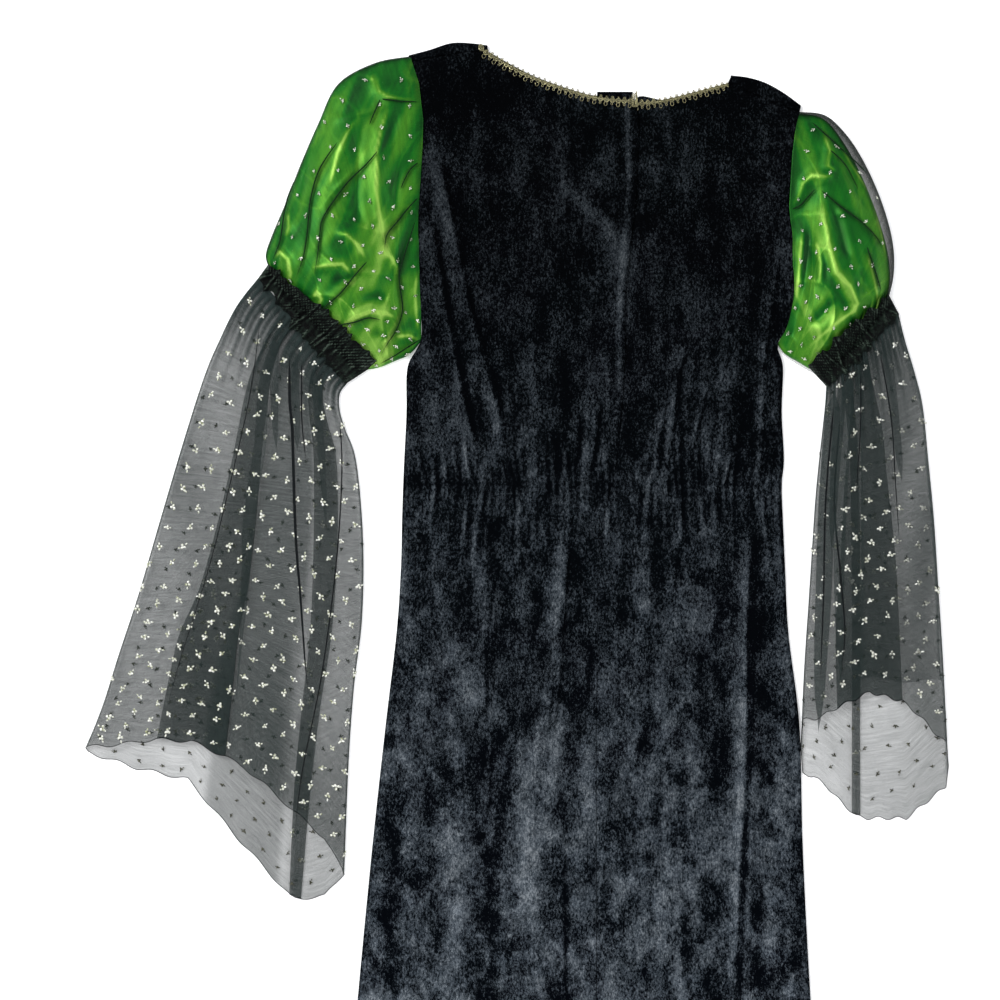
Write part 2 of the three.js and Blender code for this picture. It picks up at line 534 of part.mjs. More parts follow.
// A flounce: a tube of net laid flat, each of its layers with one long fold doubled back on itself.
function flounce(table, hem, ridges, topHeight) {
  const low = NET / 2;
  const half = NET_PITCH / 2;
  const BACK_OFF = 6.5; // where a fold's last layer is down on the cloth under it again
  const EDGE_IN = 3;
  const grid = table.map((section, row) => {
    const s = row / (table.length - 1);
    const width = distance(section.left, section.right);
    const hemPart = smooth((s - 0.45) / 0.55);
    const settled = smooth(s / 0.25);
    const points = [];
    const add = (across, z, layer, mm = 0) => {
      const place = across + mm / width;
      const p = mixPoint(section.left, section.right, place);
      const upper = column(hem, 'upper', 'across', place);
      const lower = column(hem, 'lower', 'across', place);
      const drop = layer === 'upper' ? upper : layer === 'lower' ? lower : (upper + lower) / 2;
      points.push(new THREE.Vector3(p[0], p[1] + hemPart * drop, z));
    };
    const top = (across) => {
      const atCuff = DOUBLE_HALF + EDGE_RISE + topHeight * bulge(across);
      let z = mix(atCuff, low + 3 * NET_PITCH, settled);
      for (const r of ridges) z += smooth(s / 0.2) * r.height * ridge(across - r.across, r.width);
      return z;
    };
    // One layer's fold: out to its far end, back to its near end and out again, a pitch higher each time
    const fold = (near, far, level, layer, sign) => {
      const middle = (near + far) / 2;
      add(far, level(far), layer);
      add(far, level(far) + half, layer, sign * half);
      add(far, level(far) + 2 * half, layer);
      add(middle, level(middle) + 2 * half, layer);
      add(near, level(near) + 2 * half, layer);
      add(near, level(near) + 3 * half, layer, -sign * half);
      add(near, level(near) + 4 * half, layer);
      add(middle, level(middle) + 4 * half, layer);
      add(far, level(far) + 4 * half, layer, sign * 2);
      add(far, level(far), layer, sign * BACK_OFF);
    };
    const flat = () => low;
    const LOWER_STEPS = 4;
    const [lowerFrom, lowerTo] = section.lower;
    for (let k = 0; k <= LOWER_STEPS; k++) add((lowerFrom * k) / LOWER_STEPS, low, 'lower', k ? 0 : EDGE_IN);
    fold(lowerFrom, lowerTo, flat, 'lower', 1);
    add((lowerTo + 1) / 2, low, 'lower', EDGE_IN);
    add(1, low, 'lower', -EDGE_IN);
    add(1, (low + top(1)) / 2, 'both');
    const [upperFrom, upperTo] = section.upper;
    const RIGHT_STEPS = 6;
    const across = (k) => mix(1, upperTo, k / RIGHT_STEPS);
    for (let k = 0; k <= RIGHT_STEPS; k++) add(across(k), top(across(k)), 'upper', k ? 0 : -EDGE_IN);
    add((upperFrom + upperTo) / 2, top((upperFrom + upperTo) / 2), 'upper');
    fold(upperTo, upperFrom, top, 'upper', -1);
    const LEFT_STEPS = 4;
    const start = upperFrom - BACK_OFF / width;
    for (let k = 1; k <= LEFT_STEPS; k++) {
      const place = mix(start, 0, k / LEFT_STEPS);
      add(place, top(place), 'upper', k === LEFT_STEPS ? EDGE_IN : 0);
    }
    add(0, (low + top(0)) / 2, 'both');
    return points;
  });
  return wall(grid, NET, true);
}

// Materials

const cloth = (color, roughness, metalness = 0) => new THREE.MeshStandardMaterial({ color, roughness, metalness });
const velvet = cloth(0x14161f, 0.85);
const satin = cloth(0x2f9a1e, 0.35);
const net = cloth(0x2a3033, 0.8);
const gold = cloth(0xb9a45a, 0.4, 0.7);

// The dress

const wasm = await Module();
wasm.setup();

const dress = new THREE.Group();
function piece(name, geometry, material) {
  const mesh = new THREE.Mesh(geometry, material);
  mesh.name = name;
  dress.add(mesh);
}

piece('front_panel', joined(wasm, frontHalf('left'), frontHalf('right')), velvet);
piece('placket_underlap', placketUnderlap(), velvet);
const SLEEVES = [
  { side: 'left', puff: PUFF_LEFT, folds: PUFF_FOLDS_LEFT, fall: FLOUNCE_LEFT, hem: HEM_LEFT, ridges: RIDGES_LEFT },
  { side: 'right', puff: PUFF_RIGHT, folds: PUFF_FOLDS_RIGHT, fall: FLOUNCE_RIGHT, hem: HEM_RIGHT, ridges: RIDGES_RIGHT },
];
for (const { side, puff, folds, fall, hem, ridges } of SLEEVES) {
  const back = backGrid(side);
  const netPuff = puffGrid(side, puff, folds);
  piece('back_' + side, wall(back, VELVET), velvet);
  piece(side + '_neck_braid', neckBraid(side, back), gold);
  piece(side + '_puff_satin', wall(satinGrid(side, puff, netPuff), SATIN, true), satin);
  piece(side + '_puff_net', wall(netPuff, NET, true), net);
  piece(side + '_cuff_casing', cuffCasing(side, puff, fall), net);
  piece(side + '_flounce', flounce(fall, hem, ridges, puff.at(-1).height), net);
}

// The origin is under the middle of the whole dress, on the surface it lies on.
const bounds = new THREE.Box3().setFromObject(dress);
const middle = bounds.getCenter(new THREE.Vector3());
dress.position.set(-middle.x, -middle.y, -bounds.min.z);

export default dress;
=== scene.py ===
"""A witch's dress laid on its front so that its back shows: a crushed velvet gown gathered at the
waist, green satin puffs under glitter net, flared net flounces and a gold loop braid on the neck.

The tables are in millimetres in plan, measured from the middle of the waist, and heights are
measured from the surface that the dress lies on. Left and right are as seen from above."""

import math

import bpy
import numpy as np
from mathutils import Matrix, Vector


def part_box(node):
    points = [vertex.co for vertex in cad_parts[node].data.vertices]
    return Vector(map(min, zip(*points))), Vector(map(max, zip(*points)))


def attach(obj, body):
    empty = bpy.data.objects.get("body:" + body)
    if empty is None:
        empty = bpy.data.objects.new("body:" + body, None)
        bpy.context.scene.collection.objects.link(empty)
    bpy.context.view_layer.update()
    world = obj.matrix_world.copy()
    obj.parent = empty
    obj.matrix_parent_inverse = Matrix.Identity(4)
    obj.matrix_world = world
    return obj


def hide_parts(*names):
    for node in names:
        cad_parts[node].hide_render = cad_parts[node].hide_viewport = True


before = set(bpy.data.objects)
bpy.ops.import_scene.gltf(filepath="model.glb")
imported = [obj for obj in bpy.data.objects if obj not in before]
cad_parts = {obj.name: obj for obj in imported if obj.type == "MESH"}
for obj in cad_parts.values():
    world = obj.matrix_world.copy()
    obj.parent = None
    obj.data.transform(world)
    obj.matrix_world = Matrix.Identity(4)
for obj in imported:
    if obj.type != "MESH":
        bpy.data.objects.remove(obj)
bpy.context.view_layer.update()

MM = 0.001
FRONT_LEFT_EDGE = -244  # the front panel's lowest x and highest y in the tables' own millimetres
FRONT_TOP_EDGE = 398
front_low, front_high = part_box("front_panel")
SHIFT = np.array([front_low.x / MM - FRONT_LEFT_EDGE, front_high.y / MM - FRONT_TOP_EDGE, 0.0])

# Sizes of the cloth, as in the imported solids
GAP = 0.3
VELVET = 1.5
NET = 1.0
SATIN = 1.0
BACK_LEVEL = 2.55
UNDERLAP_WIDTH = 32
UNDERLAP_TOP = 354
UNDERLAP_END = 72
BRAID_WIDTH = 10
MOUTH = 10
MOUTH_REACH = 75
HEM_SAG = 10
EDGE_LAP = 1.1  # how far the left back's turned edge is moved towards the right back
ARM_GAP = -0.3
EDGE_RISE = 2.6
NET_RISE = EDGE_RISE + GAP + (NET + SATIN) / 2
NET_PITCH = 1.4
DOUBLE_HALF = (NET + GAP + SATIN) / 2
NET_CELLS = 1500.0  # meshes of the net in a metre

# Thickness of the shells that are shown
VELVET_SHELL = 1.2
SATIN_SHELL = 0.35


def measures(names, *table):
    """A table whose rows give the named measures. A last name "line" takes all the row's places."""
    names = names.split()
    if names[-1] == "line":
        known = len(names) - 1
        table = [(*row[:known], row[known:]) for row in table]
    return [dict(zip(names, row)) for row in table]


# The body below the underarm: side edges and centre back line, hem first
SKIRT = measures(
    "y left centre right",
    (-821, -244, 1, 219),
    (-643, -228, 2, 208),
    (-463, -212, 3, 196),
    (-328, -199, 3, 189),
    (-218, -187, 3, 186),
    (-133, -177, 4, 176),
    (-74, -173, 5, 173),
    (-30, -172, 10, 171),
    (0, -171, 17, 170),
    (24, -170, 22, 172),
    (65, -168, 26, 170),
    (106, -167, 28, 171),
)

# The body above the underarm: armhole edges, and the inner edges of the halves of back and front
YOKE = measures(
    "arm_left back_left back_right front_left front_right arm_right",
    ((-155, 130), (28, 138), (28, 138), (12, 138), (12, 138), (166, 126)),
    ((-155, 158), (29, 175), (29, 175), (12, 170), (12, 170), (174, 142)),
    ((-157, 202), (33, 220), (33, 220), (12, 210), (12, 210), (180, 173)),
    ((-157, 243), (38, 270), (38, 270), (12, 250), (12, 250), (179, 220)),
    ((-154, 288), (36, 346), (36, 344), (-28, 275), (52, 275), (176, 250)),
    ((-153, 324), (-4, 351), (64, 347), (-66, 320), (90, 310), (179, 299)),
    ((-157, 357), (-54, 368), (96, 355), (-86, 357), (112, 342), (182, 322)),
    ((-165, 381), (-95, 390), (122, 362), (-95, 392), (123, 364), (186, 336)),
)

# The shoulder seam on the back, and the fold above it where the front rolls over
SHOULDER = dict(
    left=measures(
        "seam fold",
        ((-165, 381), (-166, 387)),
        ((-147, 384), (-147, 392)),
        ((-129, 387), (-128, 398)),
        ((-112, 390), (-111, 398)),
        ((-95, 390), (-95, 396)),
    ),
    right=measures(
        "seam fold",
        ((122, 362), (124, 369)),
        ((138, 355), (140, 367)),
        ((154, 348), (156, 362)),
        ((170, 341), (172, 353)),
        ((186, 336), (187, 342)),
    ),
)

# Folds of the velvet: half width and height of the ridge
FOLDS = measures(
    "width height line",
    (9, 3.0, (-147, 319), (-133, 238), (-118, 140), (-104, 40)),
    (9, 2.4, (-124, 265), (-111, 166), (-88, 76), (-73, 13)),
    (9, 2.0, (-93, 140), (-70, 76), (-52, 22)),
    (9, 2.0, (-43, 283), (6, 243), (26, 220)),
    (9, 2.2, (108, 95), (87, 4)),
    (9, 2.4, (128, 140), (116, 4)),
    (9, 2.4, (159, 175), (152, 13)),
    (12, 3.0, (-151, -67), (-160, -283), (-174, -821)),
    (12, 4.0, (-93, -31), (-98, -103), (-111, -211), (-124, -463), (-138, -821)),
    (13, 5.0, (-24, -13), (-30, -121), (-40, -247), (-52, -373), (-66, -821)),
    (12, 3.5, (51, -31), (42, -139), (42, -283), (51, -821)),
    (12, 3.0, (96, -13), (87, -139), (96, -373), (110, -821)),
    (11, 7.0, (143, -13), (141, -193), (137, -328), (134, -463), (141, -821)),
)
CREASES = measures(
    "width height line",
    (4, 1.6, (-153, 257), (-140, 202), (-131, 149), (-122, 101), (-113, 59), (-104, 23)),
    (4, 1.5, (-147, 328), (-135, 274), (-122, 209), (-111, 157), (-95, 112), (-84, 65), (-72, 20)),
    (7, 1.0, (-59, 283), (-48, 238), (-32, 164)),
    (6, 1.0, (-75, 155), (-59, 106), (-45, 60)),
    (3, 1.2, (6, 76), (-1, 20)),
    (3, 1.0, (-12, 65), (-16, 22)),
    (3.5, 1.4, (63, 65), (54, 20)),
    (3.5, 1.4, (85, 130), (76, 101), (70, 40)),
    (3.5, 1.3, (103, 94), (95, 60), (85, 20)),
    (4, 1.4, (153, 103), (148, -2)),
    (4, 1.4, (166, 209), (159, 160), (150, 90)),
    (7, 1.2, (-36, 277), (-4, 252), (24, 227)),
    (6, 1.1, (40, 209), (56, 222), (72, 232)),
    (6, 1.0, (54, 272), (46, 252), (40, 236)),
    (3, 2.0, (-21, -20), (-27, -119), (-32, -182), (-39, -241)),
    (3, 1.6, (-28, -250), (-27, -420), (-24, -620), (-24, -821)),
    (3.5, 2.0, (142, -31), (137.5, -104), (136, -230), (131, -331), (128.5, -381), (126, -430),
     (130, -821)),
    (4, 1.8, (-86, -74), (-92, -148), (-95, -283), (-108, -337)),
    (5, 1.6, (51, -29), (49, -133)),
    (5, 1.6, (78, -38), (67, -119)),
    (7, 1.8, (-45, -223), (-63, -344), (-66, -418), (-78, -640), (-84, -821)),
    (8, 1.6, (-190, -420), (-205, -620), (-214, -821)),
    (8, 1.4, (20, -300), (24, -520), (22, -821)),
    (8, 1.5, (74, -260), (80, -500), (84, -821)),
    (7, 1.4, (176, -140), (184, -420), (196, -821)),
)

# Patches of painted sheen on the velvet, or of painted shade where the gain is negative
PAINTED_SHEEN_PATCHES = measures(
    "at size lean gain",
    ((10, 232), (16, 52), -35, 0.34),
    ((-120, 340), (60, 34), 0, -0.30),
    ((40, 330), (60, 22), 0, -0.12),
    ((76, 250), (22, 40), 25, -0.04),
    ((-146, 120), (12, 60), -10, 0.22),
    ((-140, 50), (16, 30), 0, 0.2),
    ((152, 160), (12, 50), 0, -0.2),
    ((110, 270), (50, 60), 0, -0.10),
    ((70, -120), (40, 60), 0, 0.14),
    ((-90, -120), (30, 70), 0, -0.1),
    ((-190, -300), (20, 120), 0, -0.14),
    ((95, -330), (40, 80), 10, 0.14),
    ((-120, -400), (40, 60), 0, 0.14),
    ((20, -420), (26, 60), 0, -0.12),
    ((-129, -179), (25, 25), 0, 0.16),
    ((5, -179), (20, 40), 0, 0.15),
    ((-5, -285), (14, 30), 0, 0.20),
    ((-60, -305), (18, 40), 0, 0.20),
    ((-134, -331), (25, 50), 10, 0.15),
    ((162, -230), (16, 60), 0, 0.15),
    ((-60, -376), (16, 24), 0, 0.16),
    ((-7, -394), (20, 30), 0, 0.15),
    ((44, -150), (14, 40), 0, 0.10),
    ((-120, 60), (14, 44), -14, 0.14),
    ((-96, 70), (9, 40), -16, 0.10),
)
# Narrow lines of painted shadow beside folds of the velvet
SHADOW_LINES = measures(
    "width depth line",
    (2.6, 0.55, (-141, 215), (-130.5, 166.5), (-123, 129), (-114, 89), (-108, 53), (-103, 32)),
    (2.8, 0.55, (-116, 190), (-106.6, 147), (-96, 111), (-85.7, 77), (-78, 40), (-71, 17)),
    (2.0, 0.4, (-11, 68), (-14, 17)),
    (2.4, 0.35, (7, 77), (2.4, 32), (-1.3, 11)),
    (2.6, 1.0, (147, -30), (144, -80), (143, -104), (141.7, -230), (136.6, -331), (134, -381),
     (132, -430), (136, -821)),
    (7.0, 0.35, (151, -20), (150, -104), (149, -200), (146, -260)),
    (2.0, 0.4, (-85, -60), (-90.7, -103), (-94.5, -131), (-97, -245), (-107, -305)),
    (5.0, 0.3, (-97, -245), (-107, -305), (-96, -330), (-88, -381), (-90.7, -444), (-100, -821)),
    (2.2, 0.35, (-24, -60), (-27.5, -104), (-30, -136), (-34, -169), (-38, -212), (-43, -265)),
    (4.5, 0.3, (-30, -245), (-33, -295), (-35, -331), (-25, -371), (-27, -457), (-30, -821)),
    (3.0, 0.3, (47, -179), (52, -204), (40, -245), (39, -265)),
    (2.4, 0.25, (-109, -70), (-111, -104), (-112, -141)),
)

# A puff sleeve, armhole first: its upper fold edge, its underarm edge and the height of its cloth
PUFF = dict(
    left=measures(
        "outer inner height inset",
        ((-165, 386), (-155, 130), MOUTH, 0),
        ((-197, 380), (-161, 122), 14, 0),
        ((-230, 361), (-168, 116), 20, 0),
        ((-248, 325), (-175, 113), 24, 0),
        ((-264, 288), (-182, 110), 26, 0),
        ((-278, 252), (-189, 107), 25, 0),
        ((-289, 226), (-196, 105), 21, 0),
        ((-295, 208), (-202, 104), 13, 0),
        ((-293, 198), (-208, 103), 3, 0),
    ),
    right=measures(
        "outer inner height inset",
        ((186, 336), (166, 126), MOUTH, 0),
        ((209, 333), (171, 118), 13, 3),
        ((227, 317), (177, 113), 19, 6),
        ((242, 295), (182, 110), 23, 8),
        ((256, 266), (187, 107), 25, 9),
        ((266, 237), (192, 104), 24, 8),
        ((271, 212), (196, 102), 20, 6),
        ((271, 189), (200, 100), 12, 3),
        ((267, 170), (204, 99), 3, 0),
    ),
)

# Where the ruffles of the casing end on a puff's underarm edge
CUFF_CORNER = dict(left=(-195, 109), right=(194, 106))
# How far the satin stays inside the net at its fold edges
SATIN_INSET = dict(left=0.4, right=2.5)

# Creases of the satin and of the net over it: ridges, or troughs where the height is negative
SATIN_CREASES = dict(
    left=measures(
        "width height line",
        (6, 3.2, (-183, 341), (-190, 320), (-194, 297), (-194, 266), (-191, 237), (-187, 215)),
        (5, 2.6, (-233, 226), (-220, 223), (-209, 212), (-204, 201)),
        (5, 2.4, (-253, 194), (-238, 196), (-224, 197), (-215, 186)),
        (4, 2.0, (-287, 203), (-281, 209), (-274, 202), (-271, 190), (-273, 180)),
        (6, 3.0, (-226, 142), (-214, 149), (-199, 155), (-185, 153), (-175, 149)),
        (4, 1.6, (-158, 193), (-160, 173), (-159, 153), (-157, 136)),
        (4, 2.2, (-188, 216), (-185, 208), (-179, 201), (-176, 194), (-178, 183)),
        (4, 1.8, (-178, 133), (-166, 134), (-157, 131)),
        (5, 2.0, (-205, 369), (-197, 363), (-193, 354), (-185, 348), (-158, 345)),
        (5, 1.8, (-274, 246), (-273, 231), (-276, 222)),
        (9, 2.6, (-212, 331), (-229, 298), (-237, 262)),
        (4, 1.6, (-252, 168), (-247, 172), (-243, 166), (-247, 158)),
        (5, -2.6, (-205, 340), (-212, 300), (-212, 250), (-206, 222)),
        (5, -2.2, (-172, 300), (-177, 262), (-180, 240)),
        (5, -2.4, (-256, 300), (-262, 262), (-266, 236)),
        (5, -2.4, (-205, 190), (-220, 184), (-236, 182)),
        (5, -2.6, (-212, 164), (-192, 168), (-180, 166)),
        (5, -2.4, (-200, 138), (-188, 134), (-184, 128)),
    ),
    right=measures(
        "width height line",
        (5, 2.8, (178, 249), (184, 259), (188, 271), (196, 277), (208, 276), (217, 278)),
        (6, 3.2, (203, 258), (205, 247), (211, 210), (217, 189), (229, 177), (236, 162),
         (232, 155), (220, 147), (203, 133), (188, 118)),
        (5, 2.6, (188, 234), (186, 210), (184, 186), (181, 160)),
        (4, 2.2, (199, 220), (203, 198), (202, 177)),
        (5, 2.6, (243, 210), (249, 191), (254, 172), (256, 160)),
        (4, 1.8, (217, 314), (232, 287), (249, 262), (259, 226), (264, 195)),
        (5, 2.0, (206, 318), (212, 300), (210, 286), (219, 280)),
        (5, -2.8, (209, 262), (218, 236), (224, 212), (232, 190)),
        (5, -2.4, (194, 240), (194, 216), (192, 196), (190, 170)),
        (5, -2.6, (218, 168), (208, 156), (194, 140)),
        (5, -2.4, (240, 196), (243, 180), (244, 166)),
        (5, -2.2, (222, 292), (236, 266), (246, 240)),
    ),
)
NET_FOLDS = dict(
    left=measures(
        "width height line",
        (1.9, 0.8, (-268, 274), (-276, 252), (-281, 219), (-289, 199)),
        (1.9, 0.9, (-228, 308), (-245, 283), (-253, 256), (-256, 225), (-260, 202), (-268, 181)),
        (2.1, 1.0, (-192, 300), (-203, 287), (-220, 270), (-236, 248), (-243, 235), (-245, 219),
         (-247, 202), (-251, 177)),
        (1.6, 0.7, (-191, 346), (-197, 332), (-201, 322)),
        (1.6, 0.7, (-190, 346), (-172, 344), (-157, 344)),
        (2.0, 0.9, (-157, 289), (-164, 283), (-170, 272), (-173, 264)),
        (2.2, 1.1, (-157, 258), (-166, 248), (-176, 235), (-185, 223), (-187, 208)),
        (2.1, 1.1, (-159, 239), (-164, 223), (-170, 204), (-174, 188), (-173, 175), (-171, 157),
         (-176, 140), (-185, 126), (-193, 111)),
        (1.9, 0.9, (-202, 200), (-214, 186), (-226, 171), (-240, 159), (-248, 153)),
        (1.8, 0.8, (-155, 131), (-166, 124), (-180, 115), (-193, 108)),
        (1.6, 0.7, (-227, 143), (-214, 145), (-201, 149), (-189, 147)),
    ),
    right=measures(
        "width height line",
        (1.9, 0.9, (196, 326), (216, 307), (237, 288), (247, 278)),
        (1.9, 0.9, (178, 247), (186, 251), (193, 259), (200, 266)),
        (2.1, 1.0, (203, 264), (220, 249), (239, 235), (254, 220), (258, 210)),
        (2.1, 1.0, (244, 213), (251, 191), (258, 172)),
        (1.6, 0.7, (212, 300), (226, 286), (238, 262)),
    ),
)

# A flounce from its gathered top to its hem: its fold edges, and the folds laid in its two layers
FLOUNCE = dict(
    left=measures(
        "left right upper lower",
        ((-301, 187), (-221, 92), (0.34, 0.42), (0.74, 0.82)),
        ((-321, 161), (-228, 82), (0.33, 0.43), (0.742, 0.84)),
        ((-337, 129), (-228, 67), (0.31, 0.44), (0.745, 0.855)),
        ((-350, 98), (-223, 50), (0.3, 0.45), (0.75, 0.868)),
        ((-368, 42), (-213, 20), (0.3, 0.45), (0.755, 0.878)),
        ((-390, -32), (-207, -50), (0.29, 0.47), (0.76, 0.87)),
        ((-410, -100), (-208, -121), (0.28, 0.49), (0.772, 0.862)),
        ((-427, -151), (-215, -180), (0.26, 0.51), (0.78, 0.852)),
        ((-441, -195), (-220, -249), (0.27, 0.53), (0.78, 0.84)),
        ((-457, -236), (-224, -349), (0.28, 0.54), (0.79, 0.83)),
    ),
    right=measures(
        "left right upper lower",
        ((210, 89), (275, 155), (0.36, 0.52), (0.2, 0.32)),
        ((209, 73), (281, 130), (0.34, 0.54), (0.23, 0.33)),
        ((206, 45), (290, 100), (0.31, 0.57), (0.27, 0.35)),
        ((203, 18), (297, 70), (0.28, 0.6), (0.3, 0.37)),
        ((200, -14), (302, 22), (0.26, 0.62), (0.32, 0.38)),
        ((197, -57), (307, -27), (0.25, 0.64), (0.33, 0.39)),
        ((194, -100), (311, -83), (0.24, 0.66), (0.34, 0.4)),
        ((190, -157), (315, -140), (0.23, 0.67), (0.35, 0.4)),
        ((187, -225), (320, -234), (0.25, 0.68), (0.35, 0.4)),
    ),
)
# How far each layer's hem lies above the straight line between the fold edges
HEM = dict(
    left=measures(
        "across upper lower",
        (0, 0, -4),
        (0.17, 23, 2),
        (0.36, 51, 12),
        (0.5, 54, 26),
        (0.6, 52, -20),
        (0.7, 45, -36),
        (0.8, 34, -46),
        (0.92, 24, -31),
        (1, 0, 0),
    ),
    right=measures(
        "across upper lower",
        (0, 13, -34),
        (0.13, 17, -38),
        (0.24, 27, -54),
        (0.38, 43, -70),
        (0.62, 43, -73),
        (0.8, 25, -65),
        (0.92, 8, -52),
        (1, 0, -34),
    ),
)
RIDGES = dict(
    left=measures("across width height", (0.13, 0.06, 2.0), (0.68, 0.05, 2.6), (0.86, 0.05, 1.6)),
    right=measures("across width height", (0.1, 0.05, 1.6), (0.84, 0.05, 2.4)),
)
# How much denser the net bunches at the hem's lower point
HEM_SHADE = dict(left=0.10, right=0.11)
# Narrow pleats that lie doubled on a flounce, as dark lines
PLEATS = dict(
    left=measures(
        "width line",
        (2.6, (-273, 116), (-273, 76), (-270.6, 49), (-268.5, -20), (-266.5, -61), (-263, -103),
         (-259, -160), (-256, -190)),
        (1.2, (-228, 60), (-226, 10), (-231, -70), (-244, -170), (-262, -260), (-270, -330)),
        (0.8, (-299, 150), (-309, 78), (-330, -14), (-347, -80), (-372, -160), (-388, -222)),
        (1.2, (-262, 110), (-262, 60), (-258, 20)),
    ),
    right=measures(
        "width line",
        (1.6, (216, 70), (209, -14), (207, -100), (204, -180)),
        (1.6, (222, 60), (217, -14), (222, -80), (226, -130), (223, -168)),
        (1.1, (240, 100), (240, 50), (236, -10)),
        (1.1, (258, 118), (268, 60), (272, 0), (276, -60)),
    ),
)
# Wider pleats of see-through net, as darker bands
SOFT_PLEATS = dict(
    left=measures(
        "width dense line",
        (11, 0.05, (-292, 120), (-297, 76), (-299.5, 35), (-306, -6), (-310.6, -41),
         (-312, -75), (-314.6, -116), (-322, -205)),
        (9, 0.1, (-270, 122), (-269, 90), (-267, 58), (-266, 30)),
        (7, 0.05, (-252, 104), (-247, 60), (-243, 10), (-240, -40)),
        (8, 0.1, (-286, 130), (-287, 90), (-285, 30)),
    ),
    right=measures(
        "width dense line",
        (15, 0.3, (217, 86), (211, 0), (207, -100), (204, -170), (203, -225)),
        (12, 0.15, (230, 100), (224, 20), (221, -80), (223, -190)),
        (9, 0.1, (262, 134), (270, 70), (278, 0)),
        (9, 0.2, (224, 90), (218, 20), (214, -60)),
    ),
)
# A layer of the right flounce that lies folded over its front: how far across it reaches, the rows of
# the table that it starts and stops at, and the height of its own hem
TURNED_LAYER = dict(across=(0.40, 0.985), start=0.5, stop=7.25, hem_y=-174)


def table_points(rows, name):
    """A column of places from a table."""
    return np.array([row[name] for row in rows], float)


def smooth(t):
    t = np.clip(t, 0, 1)
    return t * t * (3 - 2 * t)


def mix(a, b, t):
    return a + (b - a) * t


def bell(away, width):
    return np.exp(-((away / width) ** 2))


def rounded_edge(part):
    """The rise of a quarter circle, from 0 at a folded edge to 1 where the cloth lies level."""
    return np.sqrt(np.clip(1 - (1 - np.clip(part, 0, 1)) ** 2, 0, 1))


def through(rows, at):
    """A smooth line through the rows of a table, at fractional row numbers."""
    rows = np.asarray(rows, float)
    last = len(rows) - 1
    first = np.clip(np.floor(at).astype(int), 0, last - 1)
    t = np.asarray(at) - first
    if rows.ndim > 1:
        t = t[..., None]
    before, here = rows[np.maximum(first - 1, 0)], rows[first]
    there, after = rows[first + 1], rows[np.minimum(first + 2, last)]
    square, cube = t * t, t * t * t
    return 0.5 * (
        2 * here
        + (there - before) * t
        + (2 * before - 5 * here + 4 * there - after) * square
        + (3 * here - before - 3 * there + after) * cube
    )


def straight(rows, at):
    """A line of straight stretches through the rows of a table, at fractional row numbers."""
    rows = np.asarray(rows, float)
    first = np.clip(np.floor(at).astype(int), 0, len(rows) - 2)
    t = np.asarray(at) - first
    if rows.ndim > 1:
        t = t[..., None]
    return mix(rows[first], rows[first + 1], t)


def near_line(x, y, line):
    """How far places in plan are from a line, and how far along it their nearest point is."""
    away = np.full(np.shape(x), np.inf)
    place = np.zeros(np.shape(x))
    for i, (a, b) in enumerate(zip(line, line[1:])):
        dx, dy = b[0] - a[0], b[1] - a[1]
        t = np.clip(((x - a[0]) * dx + (y - a[1]) * dy) / (dx * dx + dy * dy), 0, 1)
        d = np.hypot(x - a[0] - t * dx, y - a[1] - t * dy)
        closer = d < away
        away = np.where(closer, d, away)
        place = np.where(closer, (i + t) / (len(line) - 1), place)
    return away, place


def relief(x, y, folds, fade=5.0, steep=False):
    """The height that a list of folds gives the cloth at places in plan. Steep ones rise gently from
    the left and drop on the right of their lines."""
    height = np.zeros(np.shape(x))
    for fold in folds:
        away, place = near_line(x, y, fold["line"])
        wide = fold["width"]
        if steep:
            line = np.array(fold["line"], float)
            line = line[np.argsort(line[:, 1])]
            right = x > np.interp(y, line[:, 1], line[:, 0])
            wide = wide * np.where(right, 0.7, 2.8)
        to_hem = fold["line"][-1][1] == SKIRT[0]["y"]
        ends = place if to_hem else np.minimum(place, 1 - place)
        height += fold["height"] * smooth(fade * ends) * bell(away, wide)
    return height


def box_mean(values, reach, axis):
    """The mean of the places around each one, along one axis of a grid."""
    values = np.moveaxis(values, axis, -1)
    wide = np.pad(values, ((0, 0), (reach + 1, reach)), mode="edge")
    total = np.cumsum(wide, axis=1)
    mean = (total[:, 2 * reach + 1 :] - total[:, : -2 * reach - 1]) / (2 * reach + 1)
    return np.moveaxis(mean, -1, axis)


def lit_creases(points, ridge_gain, slope_gain, reach):
    """Painted light on a puff, 0 to 1, whichever way its grid runs: ridges and slopes facing the
    upper left lighter.
    """
    normal = np.cross(np.gradient(points, axis=1), np.gradient(points, axis=0))
    normal /= np.linalg.norm(normal, axis=2)[..., None] + 1e-9
    facing = (0.5 * normal[..., 1] - 0.8 * normal[..., 0]) * np.sign(normal[..., 2])
    facing = facing - box_mean(box_mean(facing, reach, 0), reach, 1)
    z = points[..., 2]
    ridge = z - box_mean(box_mean(z, reach, 0), reach, 1)
    return np.clip(0.5 + ridge_gain * ridge + slope_gain * facing, 0, 1)


def caught_light(points, ridge_gain, slope_gain, reach):
    """Painted light on a place, 0 to 1: ridges and slopes that face left, towards the key light, are
    lighter.
    """
    x, z = points[..., 0], points[..., 2]
    run = np.gradient(x, axis=1)
    around = box_mean(z, reach, 1)
    slope = np.gradient(z - around, axis=1) / np.where(np.abs(run) < 0.05, 0.05, run)
    return np.clip(0.5 + ridge_gain * (z - around) + slope_gain * np.clip(slope, -1, 1), 0, 1)


def bulge(across):
    """The cross shape of cloth blown up between two sewn edges."""
    return np.maximum(0, 1 - np.abs(2 * np.clip(across, 0, 1) - 1) ** 2.5) ** 0.75


